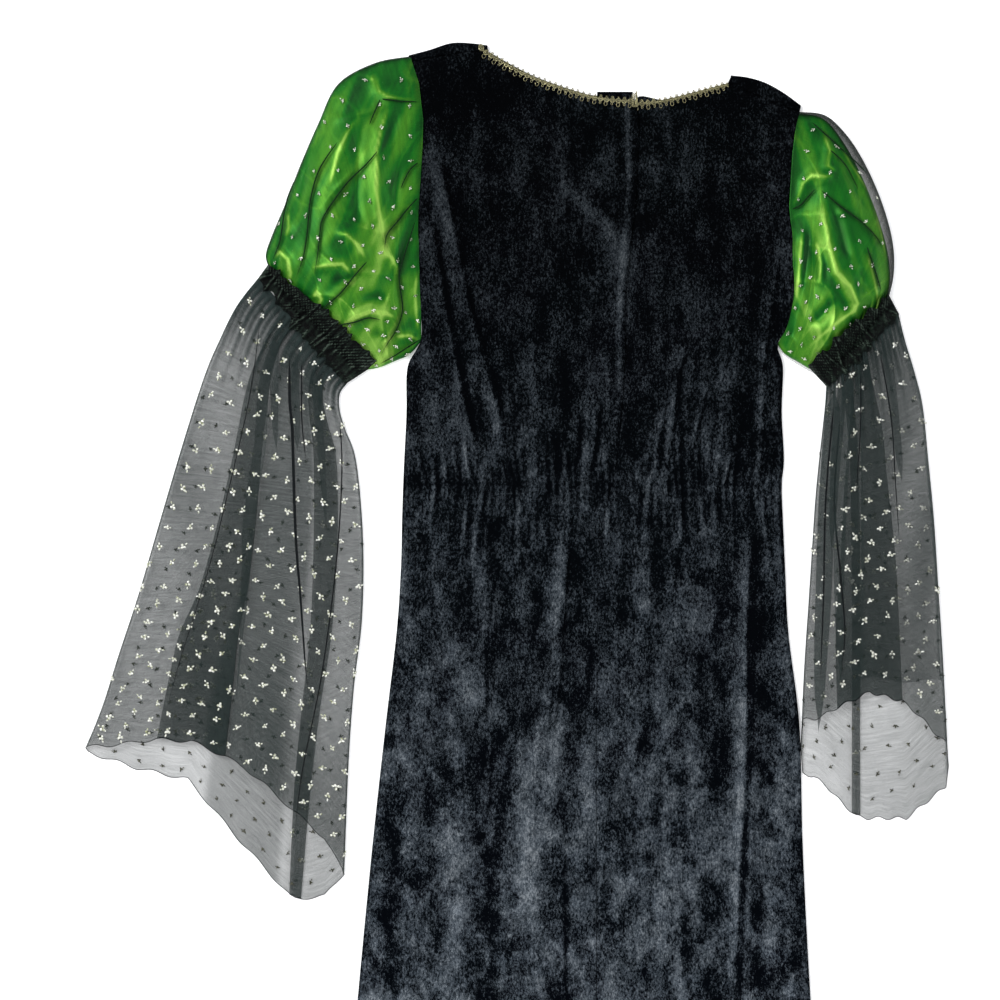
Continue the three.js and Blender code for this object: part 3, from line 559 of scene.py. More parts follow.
def wander(x, y, pitch, seed):
    """A slow uneven wave over the plan, from -1 to 1, different for each seed."""
    rng = np.random.default_rng(seed)
    total = np.zeros(np.shape(x))
    for _ in range(5):
        turn, phase = rng.uniform(0, 2 * math.pi, 2)
        size = pitch * rng.uniform(0.7, 1.5)
        total += np.sin((x * math.cos(turn) + y * math.sin(turn)) * 2 * math.pi / size + phase)
    return total / 3.0


# Cloth meshes


def cloth_lengths(points):
    """How far along the cloth places are from the middle of their row, and rows from the first."""
    over = np.cumsum(np.linalg.norm(np.diff(points, axis=1, prepend=points[:, :1]), axis=2), axis=1)
    down = np.cumsum(np.linalg.norm(np.diff(points, axis=0, prepend=points[:1]), axis=2), axis=0)
    return over - over[:, -1:] / 2, down.mean(axis=1)


def select_only(*objects):
    bpy.ops.object.select_all(action="DESELECT")
    for obj in objects:
        obj.select_set(True)
    bpy.context.view_layer.objects.active = objects[-1]


def cloth_grid(name, points, closed=False, flip=False, **tones):
    """A sheet of cloth from rows of places in mm. Its UV map is the cloth's own metres, so that a
    weave follows the cloth, and a closed sheet's last column is sewn to its first. Each of the
    tones, such as how tightly the cloth is gathered at a place, is kept as an attribute."""
    rows, columns = points.shape[:2]
    bpy.ops.object.select_all(action="DESELECT")
    bpy.ops.mesh.primitive_grid_add(x_subdivisions=columns - 1, y_subdivisions=rows - 1, size=1)
    cloth = bpy.context.object
    cloth.name = cloth.data.name = name
    mesh = cloth.data
    flat = np.zeros(len(mesh.vertices) * 3)
    mesh.vertices.foreach_get("co", flat)
    k = np.rint((flat[0::3] + 0.5) * (columns - 1)).astype(int)
    r = np.rint((flat[1::3] + 0.5) * (rows - 1)).astype(int)
    mesh.vertices.foreach_set("co", ((points[r, k] + SHIFT) * MM).ravel())

    over, down = cloth_lengths(points)
    uv_layer = mesh.uv_layers.active.data
    uv = np.zeros(len(uv_layer) * 2)
    uv_layer.foreach_get("uv", uv)
    k = np.rint(uv[0::2] * (columns - 1)).astype(int)
    r = np.rint(uv[1::2] * (rows - 1)).astype(int)
    uv[0::2] = over[r, k] * MM
    uv[1::2] = down[r] * MM
    uv_layer.foreach_set("uv", uv)
    for tone, values in tones.items():
        corners = mesh.attributes.new(tone, "FLOAT", "CORNER")
        corners.data.foreach_set("value", values[r, k].astype(np.float32))

    bpy.ops.object.mode_set(mode="EDIT")
    bpy.ops.mesh.select_all(action="SELECT")
    if closed:
        bpy.ops.mesh.remove_doubles(threshold=1e-6)
    if flip:
        bpy.ops.mesh.flip_normals()
    bpy.ops.object.mode_set(mode="OBJECT")
    bpy.ops.object.shade_smooth()
    return cloth


def thicken(cloth, thickness):
    """Gives a sheet its thickness, inwards from the side that shows."""
    select_only(cloth)
    wall = cloth.modifiers.new("cloth", "SOLIDIFY")
    wall.thickness = thickness * MM
    wall.offset = -1
    wall.use_even_offset = False
    bpy.ops.object.modifier_apply(modifier=wall.name)


def dress_piece(piece, finish, slot, *nodes):
    """Gives a piece its finish, and makes it ride on the dress in place of its solids."""
    piece.data.materials.clear()
    piece.data.materials.append(finish)
    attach(piece, "root")
    if nodes:
        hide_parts(*nodes)
    return piece


# Velvet body


def gather_heights(x, y):
    """The gathers that the waist elastic pulls into the velvet, above and below it."""
    ELASTIC_FROM, ELASTIC_TO = -163.0, 166
    rng = np.random.default_rng(11)
    height = np.zeros(np.shape(x))
    start = ELASTIC_FROM
    while start < ELASTIC_TO:
        lean_up = rng.normal(0, 0.10) + start * 0.0012
        lean_down = rng.normal(0, 0.05) + start * 0.0007
        up, down = rng.uniform(30, 100), rng.uniform(34, 130)
        tall = rng.uniform(0.35, 1.5)
        slim = rng.uniform(1.3, 2.6)
        sway = rng.uniform(0.3, 1.3) * np.sin(y / rng.uniform(16, 40) + rng.uniform(0, 6))
        line = start + np.where(y > 0, lean_up * y, -lean_down * y) + sway
        wide = slim * (1 + np.abs(y) / 90)
        reach = np.where(y > 0, y / up, -y / down)
        height += tall * smooth(1 - reach) * bell(x - line, wide)
        start += rng.uniform(3.4, 8.0)
    return height


def centre_at(y):
    """Where the centre back line is at a height of the dress."""
    places = [(row["y"], row["centre"]) for row in SKIRT]
    places += [row["back_left"][::-1] for row in YOKE[:5]]
    ys, xs = zip(*places)
    return np.interp(y, ys, xs)


def armhole_line(side):
    return [row["arm_" + side] for row in YOKE][::-1]


def back_height(side, x, y):
    """The height of the back above where it lies flat on the front."""
    away, place = near_line(x, y, armhole_line(side))
    height = MOUTH * bulge(place) * smooth(1 - away / MOUTH_REACH)
    height = height + 0.8 * relief(x, y, FOLDS, fade=4.0) + 1.2 * relief(x, y, CREASES, steep=True)
    height = height + gather_heights(x, y)
    waist = bell(y - 2 - 1.5 * np.sin(x / 31), 2.8)
    height = height - 0.9 * waist * (0.5 + 0.5 * np.tanh(height - 1.0))
    height = height + 0.35 * wander(x, y * 0.45, 26, 5) + 0.5 * wander(x, y * 0.5, 60, 8)
    inward = centre_at(y) - x
    if side == "left":
        fade = 30.0
        over_strip = smooth((UNDERLAP_WIDTH + 2 * fade - inward) / fade)
        height = height + (VELVET + GAP) * smooth((y - UNDERLAP_END) / fade + 1.5) * over_strip
        turned_in = bell(inward - 4.5, 3.0) * smooth((y - 84) / 20)
        height = height + 0.9 * turned_in
    else:
        height = height - 0.5 * bell(inward, 5) * smooth((y - 60) / 20)
    seam = bell(inward, 2.2) * smooth((90 - y) / 20)
    return np.maximum(height - 1.0 * seam, 0.0)


def back_panel(side):
    """One half of the back, from hem to shoulder seam and from side to centre back."""
    left = side == "left"
    below = ("left", "centre") if left else ("centre", "right")
    above = ("arm_left", "back_left") if left else ("back_right", "arm_right")
    near, far = (
        np.array([(row[skirt], row["y"]) for row in SKIRT] + [row[yoke] for row in YOKE], float)
        for skirt, yoke in zip(below, above)
    )
    last = len(near) - 1
    seam = table_points(SHOULDER[side], "seam")
    count_down, count_over = 262, 150 if left else 136
    heights = near[:, 1] * 0.5 + far[:, 1] * 0.5
    fine = np.linspace(heights[0], heights[-1], 3000)
    rows_in = np.cumsum(1 + 2.4 * bell(fine, 12) + 0.6 * smooth((fine + 60) / 60))
    spread = np.interp(np.linspace(rows_in[0], rows_in[-1], count_down + 1), rows_in, fine)
    at = np.interp(spread, heights, np.arange(last + 1))
    at[0], at[-1] = 0, last
    v, u = np.meshgrid(at, np.linspace(0, 1, count_over + 1), indexing="ij")
    plan = mix(through(near, v), through(far, v), u[..., None])
    bow = through(seam, u * (len(seam) - 1)) - mix(near[-1], far[-1], u[..., None])
    plan = plan + smooth(v - (last - 1))[..., None] * bow
    x, y = plan[..., 0], plan[..., 1]
    from_side = u if left else 1 - u
    lap = -GAP / 2 + EDGE_LAP * smooth((y - 90) / 20) if left else GAP / 2
    last_column = from_side > 0.999
    x = x + np.where(last_column, lap, 0)
    y = y - np.where(v < 1, (1 - v) * HEM_SAG * np.sin(math.pi / 2 * from_side), 0)
    rise = back_height(side, x, y)
    on_skirt = smooth((len(SKIRT) - 1 - v) * 2)
    from_edge = np.abs(x - through(near if left else far, v)[..., 0])
    rise = rise * mix(1, smooth(from_edge / 16), on_skirt)
    roll = 1.1 * (1 - smooth(from_edge / 4)) * on_skirt
    z = BACK_LEVEL + VELVET_SHELL / 2 + rise - roll
    points = np.stack([x, y, z], axis=-1)
    # Painted light from the cloth's relief: ridges and slopes that face the key light on the left are
    # lighter, with less contrast on the skirt.
    catch = caught_light(points, ridge_gain=0.18, slope_gain=0.40, reach=4)
    catch = catch + caught_light(points, ridge_gain=0.14, slope_gain=0.30, reach=12) - 0.5
    catch = 0.5 + (catch - 0.5) * mix(1.0, 0.5, smooth((-40 - y) / 90))
    # Painted shadow along each shadow line beside a fold.
    for shadow_line in SHADOW_LINES:
        away, place = near_line(x, y, shadow_line["line"])
        ends = smooth(4 * np.minimum(place + 0.02, 1.02 - place))
        catch = catch - shadow_line["depth"] * ends * bell(away, shadow_line["width"])
    # A painted highlight along the left back's turned edge at the opening, stronger lower down.
    if left:
        inward = centre_at(y) - x
        edge = bell(inward - 3.4, 2.4) * smooth((y - 84) / 10) * smooth((346 - y) / 12)
        catch = catch + edge * mix(0.04, 0.34, smooth((270 - y) / 70))
    # Painted shade along the waist groove.
    catch = catch - 0.12 * bell(y - 1, 2.6)
    # Patches of painted sheen, or of painted shade where the gain is negative.
    for patch in PAINTED_SHEEN_PATCHES:
        along, beside = x - patch["at"][0], y - patch["at"][1]
        lean = math.radians(patch["lean"])
        wide = (along * math.cos(lean) - beside * math.sin(lean)) / patch["size"][0]
        tall = (along * math.sin(lean) + beside * math.cos(lean)) / patch["size"][1]
        catch = catch + patch["gain"] * np.exp(-(wide**2) - tall**2)
    catch = np.clip(catch, 0, 1)
    cloth = cloth_grid(f"{side}_back_velvet", points, catch=catch)
    thicken(cloth, VELVET_SHELL)
    return cloth


def placket_strip():
    """The strip behind the centre back opening, sewn to the right half."""
    y = np.linspace(UNDERLAP_END, UNDERLAP_TOP, 90)
    place = np.linspace(-1, 0, 18)
    yy, side = np.meshgrid(y, place, indexing="ij")
    x = centre_at(yy) - GAP + side * UNDERLAP_WIDTH
    z = BACK_LEVEL + VELVET_SHELL / 2 + 0.08 * wander(x, yy, 22, 3)
    cloth = cloth_grid("placket_strip", np.stack([x, yy, z], axis=-1), catch=np.full(x.shape, 0.4))
    thicken(cloth, VELVET_SHELL)
    return cloth


def front_half(side):
    """Rows of places on the outside of half the front, flat below and rolled over the shoulder."""
    left, count = side == "left", 41
    middle = YOKE[0]["front_left"][0]
    edges = [(r[side], r["y"]) for r in SKIRT] + [r["arm_" + side] for r in YOKE]
    inner = [(middle, r["y"]) for r in SKIRT] + [r["front_" + side] for r in YOKE]
    heights = [(a[1] + b[1]) / 2 for a, b in zip(edges, inner)]
    at = np.interp(np.linspace(heights[0], heights[-2], 96), heights, np.arange(len(edges)))
    v, u = np.meshgrid(at, np.linspace(0, 1, count), indexing="ij")
    centre = straight(inner, v)
    plan = mix(through(edges, v), centre, u[..., None])
    y = plan[..., 1] - np.where(v < 1, (1 - v) * HEM_SAG * np.sin(math.pi / 2 * u), 0)
    rows = [np.stack([plan[..., 0], y, np.zeros_like(y)], axis=-1)]
    across = np.linspace(0, 1, count)
    along = (across if left else 1 - across) * (len(SHOULDER[side]) - 1)
    fold = through(table_points(SHOULDER[side], "fold"), along)
    seam = through(table_points(SHOULDER[side], "seam"), along)
    top = BACK_LEVEL + VELVET / 2
    outer = top / 2
    stretch = mix(plan[-1], fold - [0, outer], 0.5)
    rows.append(np.concatenate([stretch, np.zeros((count, 1))], axis=1)[None])
    for turn in np.linspace(-90, 90, 9):
        lean = math.radians(turn)
        rolled = fold[:, 1] - outer + outer * math.cos(lean)
        level = np.full(count, outer + outer * math.sin(lean))
        rows.append(np.stack([fold[:, 0], rolled, level], axis=-1)[None])
    for part in (0.5, 1.0):
        flat = mix(fold - [0, outer], seam + [0, GAP], part)
        rows.append(np.concatenate([flat, np.full((count, 1), top)], axis=1)[None])
    return np.concatenate(rows)


def front_panel():
    """The front in one piece, with the shoulder straps that roll over onto the back."""
    halves = [
        cloth_grid(name, half, flip=flip, catch=np.full(half.shape[:2], 0.45))
        for name, half, flip in (
            ("front_velvet", front_half("left"), True),
            ("front_right_half", front_half("right"), False),
        )
    ]
    select_only(halves[1], halves[0])
    bpy.ops.object.join()
    bpy.ops.object.mode_set(mode="EDIT")
    bpy.ops.mesh.select_all(action="SELECT")
    bpy.ops.mesh.remove_doubles(threshold=2e-5)
    bpy.ops.object.mode_set(mode="OBJECT")
    cloth = halves[0]
    thicken(cloth, VELVET_SHELL)
    return cloth


# Sleeves


def puff_places(side, s, across):
    """Where a puff lies in plan: s runs from the armhole to the cuff, and across from the upper to
    the lower edge."""
    table = PUFF[side]
    row = s * (len(table) - 1)
    names = ("outer", "inner", "height", "inset")
    outer, inner, height, inset = (through(table_points(table, name), row) for name in names)
    plan = mix(outer, inner, across[..., None])
    arm = np.array(armhole_line(side), float)
    bow = straight(arm, np.clip(across, 0, 1) * (len(arm) - 1))
    bow = bow - mix(arm[0], arm[-1], across[..., None])
    plan = plan + (1 - smooth(row / 3))[..., None] * bow
    plan[..., 0] += -ARM_GAP if side == "left" else ARM_GAP
    width = np.hypot(*np.moveaxis(outer - inner, -1, 0))
    return plan, width, height, inset


def puff_rings(side, layer, count_down, count_over, count_under):
    """The grid of one layer of a puff: under its hollow, round the underarm edge and back over."""
    EDGE = 4.0
    under = np.linspace(0, 1, count_under, endpoint=False)
    over = np.linspace(1, 0, count_over)
    eased = lambda a: 0.5 - 0.5 * np.cos(np.pi * a)
    under = mix(under, eased(under), 0.6)
    over = mix(over, eased(over), 0.6)
    across = np.concatenate([under, over])
    part_over = np.concatenate([np.zeros(len(under)), np.ones(len(over))])
    s, a = np.meshgrid(np.linspace(0, 1, count_down), across, indexing="ij")
    is_over = np.broadcast_to(part_over, s.shape) > 0.5
    plan, width, height, inset = puff_places(side, s, a)
    if layer == "satin":
        shift = (SATIN_INSET[side] * (1 - 2 * a) + inset * np.clip(1 - 2 * a, 0, 1) ** 2) / width
        plan, width, height, _ = puff_places(side, s, a + shift)
    x, y = plan[..., 0], plan[..., 1]
    edge = np.minimum(a, 1 - a) * width / EDGE
    round_off = rounded_edge(edge)
    window = smooth(s * 7) * smooth((1 - s) * 5)
    inside = window * smooth(edge * 0.35)
    satin_relief = inside * relief(x, y, SATIN_CREASES[side], fade=3.0)
    crinkle = 1 - np.clip(np.abs(wander(x, y, 52, 21)) * 2.2, 0, 1)
    uneven = 0.8 * wander(x, y, 46, 21) + 0.15 * wander(x, y, 19, 22)
    satin_relief += inside * (uneven + 1.0 * crinkle**3)
    net_relief = relief(x, y, NET_FOLDS[side], fade=4.0)
    to_cuff, to_arm = 1 - s, s
    ring_place = a * width
    frill = np.sin(ring_place / 2.0 + 2.6 * wander(x, y, 60, 31))
    frill = frill + 0.5 * np.sin(ring_place / 1.15 + 2.2 * wander(x, y, 40, 32))
    puckers = frill * bell(to_cuff, 0.10) * 1.5
    puckers += np.sin(ring_place / 2.9 + 2.0 * wander(x, y, 70, 33)) * bell(to_arm, 0.06) * 0.12
    puckers *= smooth(s * 40) * smooth((1 - s) * 30 + 0.35) * smooth(edge * 0.4)
    middle = NET / 2 + NET_RISE / 2
    top = middle + NET_RISE / 2 * round_off + height * bulge(a)
    bottom = middle - NET_RISE / 2 * round_off
    if layer == "satin":
        upper = top - 1.45 - 0.5 * inside + satin_relief + puckers
        z = np.where(is_over, upper, bottom + 1.1 * round_off)
    else:
        own = inside * (0.5 * wander(x, y, 38, 41) + net_relief)
        lift = 0.55 * np.maximum(satin_relief, 0) + 0.25 * np.minimum(satin_relief, 0)
        lift = np.maximum(lift, satin_relief - 0.3)
        z = np.where(is_over, top + lift + own + puckers, bottom)
    dense = 0.45 * is_over * inside * np.clip(net_relief, 0, 1)
    dense = dense + 0.9 * bell(to_cuff, 0.06) * np.clip(0.45 - 0.5 * frill, 0, 1)
    dense = dense + 0.25 * bell(to_arm, 0.03)
    shade, reach = (0.7, 8.0) if side == "right" else (0.3, 2.5)
    dense = dense + shade * bell(ring_place, reach)
    points = np.stack([x, y, z], axis=-1)
    # Painted light on the puff: ridges and slopes facing the key light lighter; less contrast and a
    # little darker towards the upper fold edge and the armhole; lighter towards the underarm edge and
    # the cuff.
    catch = lit_creases(points, ridge_gain=0.12, slope_gain=0.75, reach=8)
    lower = smooth((a - 0.25) / 0.4) * smooth((s + 0.2) / 0.5)
    catch = 0.5 + (catch - 0.5) * mix(0.42, 1.0, lower)
    gain = 0.34 if side == "left" else 0.22
    catch = catch + gain * smooth((a - 0.45) / 0.4) * smooth((s - 0.1) / 0.5)
    catch = catch - 0.10 * (1 - lower)
    # Painted shade along the upper fold edge, where the cloth rolls under.
    catch = catch - 0.30 * bell(ring_place, 4.0)
    # Painted highlights on the frills' crests at the cuff, painted shade between them.
    catch = catch + 0.35 * bell(to_cuff, 0.10) * np.clip(frill, -1, 1)
    # Painted highlights along the crests of the satin's raised creases, kept as the ridge attribute.
    ridge = np.zeros(x.shape)
    for fold in SATIN_CREASES[side]:
        away, place = near_line(x, y, fold["line"])
        ends = smooth(5 * np.minimum(place, 1 - place))
        ridge = ridge + (fold["height"] > 0) * ends * bell(away, 1.5)
    tones = dict(gathered=dense, catch=catch, ridge=ridge * is_over)
    return points, {tone: np.clip(values, 0, 1) for tone, values in tones.items()}, is_over


def close_rings(grid):
    return np.concatenate([grid, grid[:, :1]], axis=1)


def puff_cloth(side, layer):
    counts = dict(count_down=108, count_over=150, count_under=26 if layer == "satin" else 30)
    points, tones, is_over = puff_rings(side, layer, **counts)
    tones = {tone: close_rings(values) for tone, values in tones.items()}
    name = f"{side}_puff_{layer}_cloth"
    cloth = cloth_grid(name, close_rings(points), closed=True, flip=side == "left", **tones)
    if layer == "satin":
        thicken(cloth, SATIN_SHELL)
    return cloth, points, is_over


def flounce_rings(side, count_down, spacing):
    """The grid of a flounce: a tube laid flat, with one long fold doubled back in each layer."""
    table, hem, ridges = FLOUNCE[side], HEM[side], RIDGES[side]
    top_height = PUFF[side][-1]["height"]
    low, half = NET / 2, NET_PITCH / 2
    BACK_OFF, EDGE_IN = 6.5, 2.0
    hem_across = [h["across"] for h in hem]
    names = ("left", "right", "upper", "lower")
    columns = {name: table_points(table, name) for name in names}
    rings = []
    for s in np.linspace(0, 1, count_down):
        row = np.array(s * (len(table) - 1))
        left, right, upper_fold, lower_fold = (through(columns[n], row) for n in names)
        (upper_from, upper_to), (lower_from, lower_to) = upper_fold, lower_fold
        width = np.hypot(*(right - left))
        hem_part, settled = smooth((s - 0.45) / 0.55), smooth(s / 0.25)
        ring = []

        def top(across):
            gathered = DOUBLE_HALF + EDGE_RISE + top_height * bulge(across)
            z = mix(gathered, low + 3 * NET_PITCH, settled)
            for r in ridges:
                away = (across - r["across"]) / r["width"]
                z = z + smooth(s / 0.2) * r["height"] * math.exp(-(away**2))
            return z

        def add(across, z, layer, mm=0.0):
            place = across + mm / width
            drops = [np.interp(place, hem_across, [h[n] for h in hem]) for n in ("upper", "lower")]
            drop = dict(upper=drops[0], lower=drops[1], both=sum(drops) / 2)[layer]
            p = mix(left, right, place)
            ring.append((p[0], p[1] + hem_part * drop, z, place, layer == "upper"))

        def fold(near, far, level, layer, sign):
            middle = (near + far) / 2
            for across, steps, mm in (
                (far, 0, 0), (far, 1, half), (far, 2, 0), (middle, 2, 0), (near, 2, 0),
                (near, 3, -half), (near, 4, 0), (middle, 4, 0), (far, 4, 2), (far, 0, BACK_OFF),
            ):
                add(across, level(across) + steps * half, layer, sign * mm)

        for k in range(5):
            add(lower_from * k / 4, low, "lower", 0 if k else EDGE_IN)
        fold(lower_from, lower_to, lambda _: low, "lower", 1)
        add((lower_to + 1) / 2, low, "lower", EDGE_IN)
        add(1, low, "lower", -EDGE_IN)
        add(1, (low + top(1)) / 2, "both")
        for k in range(7):
            across = mix(1, upper_to, k / 6)
            add(across, top(across), "upper", 0 if k else -EDGE_IN)
        middle = (upper_from + upper_to) / 2
        add(middle, top(middle), "upper")
        fold(upper_to, upper_from, top, "upper", -1)
        start = upper_from - BACK_OFF / width
        for k in range(1, 5):
            across = mix(start, 0, k / 4)
            add(across, top(across), "upper", EDGE_IN if k == 4 else 0)
        add(0, (low + top(0)) / 2, "both")
        ring.append(ring[0])
        rings.append(ring)

    rings = np.array(rings, float)
    lengths = np.linalg.norm(np.diff(rings[:, :, :2], axis=1), axis=2).max(axis=0)
    steps = np.maximum(1, np.ceil(lengths / spacing)).astype(int)
    parts = []
    for i, n in enumerate(steps):
        t = (np.arange(n) / n)[None, :, None]
        parts.append(mix(rings[:, i : i + 1], rings[:, i + 1 : i + 2], t))
    return np.concatenate(parts, axis=1)


def flounce_cloth(side):
    FINE, BROAD = 120, 61  # radians that the small and the large pleats wave through across
    rings = flounce_rings(side, count_down=210, spacing=2.6)
    x, y, z, across, upper = np.moveaxis(rings, -1, 0)
    upper = upper > 0.5
    s = np.linspace(0, 1, rings.shape[0])[:, None] * np.ones_like(x)
    fade = bell(s, 0.16)
    ripple = np.sin(across * FINE + 1.5 * wander(x, y, 90, 51)) * fade * 1.1
    ripple += np.sin(across * BROAD + 2.0 * wander(x, y, 150, 52)) * bell(s, 0.33) * 0.7
    ripple += 0.3 * wander(x, y * 0.3, 60, 53) * smooth(s * 4)
    hem_wave = np.sin(across * 31 + 4) * smooth((s - 0.86) / 0.14)
    z = z + np.where(upper, 0.6 + ripple * smooth(s * 30) + 0.5 * hem_wave, 0)
    y = y + 1.6 * np.sin(across * 47 + np.where(upper, 0.0, 2.0)) * smooth((s - 0.93) / 0.07)
    row = s[:, :1] * (len(FLOUNCE[side]) - 1)
    columns = [through(table_points(FLOUNCE[side], n), row) for n in ("left", "right")]
    width = np.hypot(*np.moveaxis(columns[1] - columns[0], -1, 0))
    from_edge = np.minimum(np.abs(across), np.abs(1 - across)) * width
    fine = np.sin(across * FINE + 1.5 * wander(x, y, 90, 51))
    broad = np.sin(across * BROAD + 2.0 * wander(x, y, 150, 52))
    dense = 0.75 * bell(s, 0.035) + 0.6 * bell(s, 0.15) * (0.5 + 0.5 * fine)
    dense += 0.22 * bell(s, 0.3) * np.clip(broad, 0, 1)
    dense += 0.04 * wander(x, y * 0.25, 60, 54) + 0.55 * bell(from_edge, 1.3)
    if side == "left":
        dense += 0.16 * smooth((across - 0.44) / 0.04) * smooth((0.76 - across) / 0.04)
    dense += HEM_SHADE[side] * smooth((s - 0.75) / 0.25) * smooth(across / 0.9)
    points = np.stack([x, y, np.maximum(z, 0.15)], axis=-1)
    dense = close_rings(np.clip(dense, 0, 1))
    name = f"{side}_flounce_cloth"
    return cloth_grid(name, close_rings(points), closed=True, flip=True, gathered=dense), points


def cuff_cloth(side, height):
    """The gathered casing over the elastic between a puff and its flounce, in uneven ruffles."""
    rng = np.random.default_rng(71 if side == "left" else 72)
    end, fall = PUFF[side][-1], FLOUNCE[side][0]
    far = (fall["left"], fall["right"]) if side == "left" else (fall["right"], fall["left"])
    near = np.array([end["outer"], CUFF_CORNER[side]], float)
    far = np.array(far, float)
    length = np.hypot(*(near[1] - near[0]))
    over_ends = 0.08  # how far the ruffles reach past the casing's two edges
    reach = np.linspace(-over_ends, 1 + over_ends, 20)
    place, a = np.meshgrid(reach, np.linspace(0, 1, 230), indexing="ij")
    inside = np.clip((place + over_ends) / (1 + 2 * over_ends), 0, 1)
    swell = np.sin(np.pi * np.where(inside > 0.5, 0.5 + 0.62 * (inside - 0.5), inside)) ** 0.6
    ruffles = []
    while not ruffles or ruffles[-1][0] < 1:
        start = (ruffles[-1][0] if ruffles else 0) + rng.uniform(2.5, 7.5) / length
        width, tall = rng.uniform(1.4, 3.8) / length, rng.uniform(0.5, 2.7)
        ruffles.append((start, width, tall, rng.normal(0, 8) / length))
    rings = []
    for over in (False, True):
        across = a if not over else 1 - a
        start = mix(near[0], near[1], across[..., None])
        stop = mix(far[0], far[1], across[..., None])
        waves = sum(h * bell(across - c - lean * (inside - 0.5), w) for c, w, h, lean in ruffles)
        ragged = 0.16 * wander(across * 300, inside * 0, 26, 74) + 0.05 * waves
        edge = np.minimum(across, 1 - across)
        outward = np.where(inside > 0.5, 1, -1) * np.abs(2 * inside - 1)
        plan = mix(start, stop, (place + ragged * outward * smooth(edge / 0.12))[..., None])
        rounded = rounded_edge(edge / 0.04)
        middle = DOUBLE_HALF + EDGE_RISE / 2
        if over:
            z = middle + (EDGE_RISE / 2 + DOUBLE_HALF) * rounded + end["height"] * bulge(across)
            z = np.maximum(z, height(plan[..., 0], plan[..., 1]) * rounded)
            z = z + swell * (0.5 + waves) * rounded - 1.6 * bell(inside - 0.42, 0.13) * rounded
        else:
            z = middle - (EDGE_RISE / 2 + DOUBLE_HALF - 0.1) * rounded
        rings.append(np.concatenate([plan, z[..., None]], axis=-1))
    points = np.concatenate([rings[0][:, :-1], rings[1][:, :-1]], axis=1)
    # Painted light on the ruffles: ridges and slopes that face left are lighter.
    tone = caught_light(points, ridge_gain=0.20, slope_gain=0.45, reach=4)
    tight = np.concatenate([inside, inside], axis=1)[:, : points.shape[1]]
    tight = mix(1.0, 0.6, smooth((tight - 0.35) / 0.5))
    tones = dict(catch=close_rings(tone), gathered=close_rings(tight))
    name = f"{side}_cuff_gathers"
    return cloth_grid(name, close_rings(points), closed=True, flip=side == "left", **tones)


def turned_layer(height):
    """The layer of the right flounce that lies folded over its front, down to its own hem."""
    table = FLOUNCE["right"]
    s, u = np.meshgrid(np.linspace(0, 1, 110), np.linspace(0, 1, 60), indexing="ij")
    left, right = (table_points(table, n) for n in ("left", "right"))
    across = mix(*TURNED_LAYER["across"], u)
    row = mix(TURNED_LAYER["start"], TURNED_LAYER["stop"], s)
    plan = mix(through(left, row), through(right, row), across[..., None])
    x, y = plan[..., 0], plan[..., 1]
    y = mix(y, TURNED_LAYER["hem_y"] + 2.0 * np.sin(u * 9) - 3 * u, smooth((s - 0.8) / 0.2))
    z = height(x, y) + 0.5 + 0.3 * np.sin(x / 9 + 2 * s)
    z = np.maximum(z, np.roll(z, 1, axis=1) - 0.5)
    dense = 0.5 * bell(np.minimum(u, 1 - u) * 60, 1.6) + 0.10 * wander(x, y * 0.25, 40, 57)
    dense += 0.5 * bell((1 - s) * 220, 1.6)
    points, dense = np.stack([x, y, z], axis=-1), np.clip(dense - 0.1, -0.2, 1)
    return cloth_grid("right_flounce_turned_layer", points, gathered=dense)


# Trim


def top_of(points):
    """A map of the highest cloth over the plan, to lay things on it."""
    STEP = 2.5
    low = points.reshape(-1, 3).min(axis=0) - 3 * STEP
    cells = np.zeros(tuple(((points.reshape(-1, 3).max(axis=0) - low) / STEP).astype(int)[:2] + 4))
    i, j = ((points.reshape(-1, 3)[:, :2] - low[:2]) / STEP).astype(int).T
    np.maximum.at(cells, (i, j), points.reshape(-1, 3)[:, 2])
    wide = cells.copy()
    for di in (-1, 0, 1):
        for dj in (-1, 0, 1):
            wide = np.maximum(wide, np.roll(cells, (di, dj), (0, 1)))

    def height(x, y):
        i = np.clip(((x - low[0]) / STEP).astype(int), 0, wide.shape[0] - 1)
        j = np.clip(((y - low[1]) / STEP).astype(int), 0, wide.shape[1] - 1)
        return wide[i, j]

    return height


def ribbon(height, line, width, lift):
    """Vertices and faces of a narrow doubled pleat that lies along a line, tapered at its ends."""
    line = np.array(line, float)
    count = 60
    at = through(line, np.linspace(0, len(line) - 1, count))
    along = np.gradient(at, axis=0)
    along /= np.linalg.norm(along, axis=1)[:, None]
    side = np.stack([-along[:, 1], along[:, 0]], axis=1)
    t = np.linspace(0, 1, count)
    taper = (0.25 + 0.75 * np.sin(np.pi * (0.25 + 0.72 * t))) * smooth(t * 12) * smooth((1 - t) * 5)
    level = height(at[:, 0], at[:, 1])
    level = np.convolve(np.pad(level, 3, mode="edge"), np.ones(7) / 7, mode="valid")
    level = np.maximum(level, height(at[:, 0], at[:, 1]) - 0.6)
    rows = []
    for edge in (-0.5, 0.0, 0.5):
        place = at + side * (edge * width * taper)[:, None]
        above = (level + lift + (0.3 if edge == 0 else 0.0))[:, None]
        rows.append(np.concatenate([place, above], axis=1))
    verts = np.concatenate(rows)
    faces = []
    for strip in (0, 1):
        for k in range(count - 1):
            first = strip * count + k
            faces.append((first, first + 1, first + count + 1, first + count))
    return verts, faces


def soft_pleat(name, height, pleat):
    """A see-through pleat of the net that lies along a line on a flounce."""
    count, wide = 60, 5
    verts, _ = ribbon(height, pleat["line"], pleat["width"], lift=0.4)
    edges = np.array(verts).reshape(3, count, 3)
    points = mix(edges[0][:, None], edges[2][:, None], np.linspace(0, 1, wide)[None, :, None])
    return cloth_grid(name, points, gathered=np.full(points.shape[:2], pleat["dense"]))


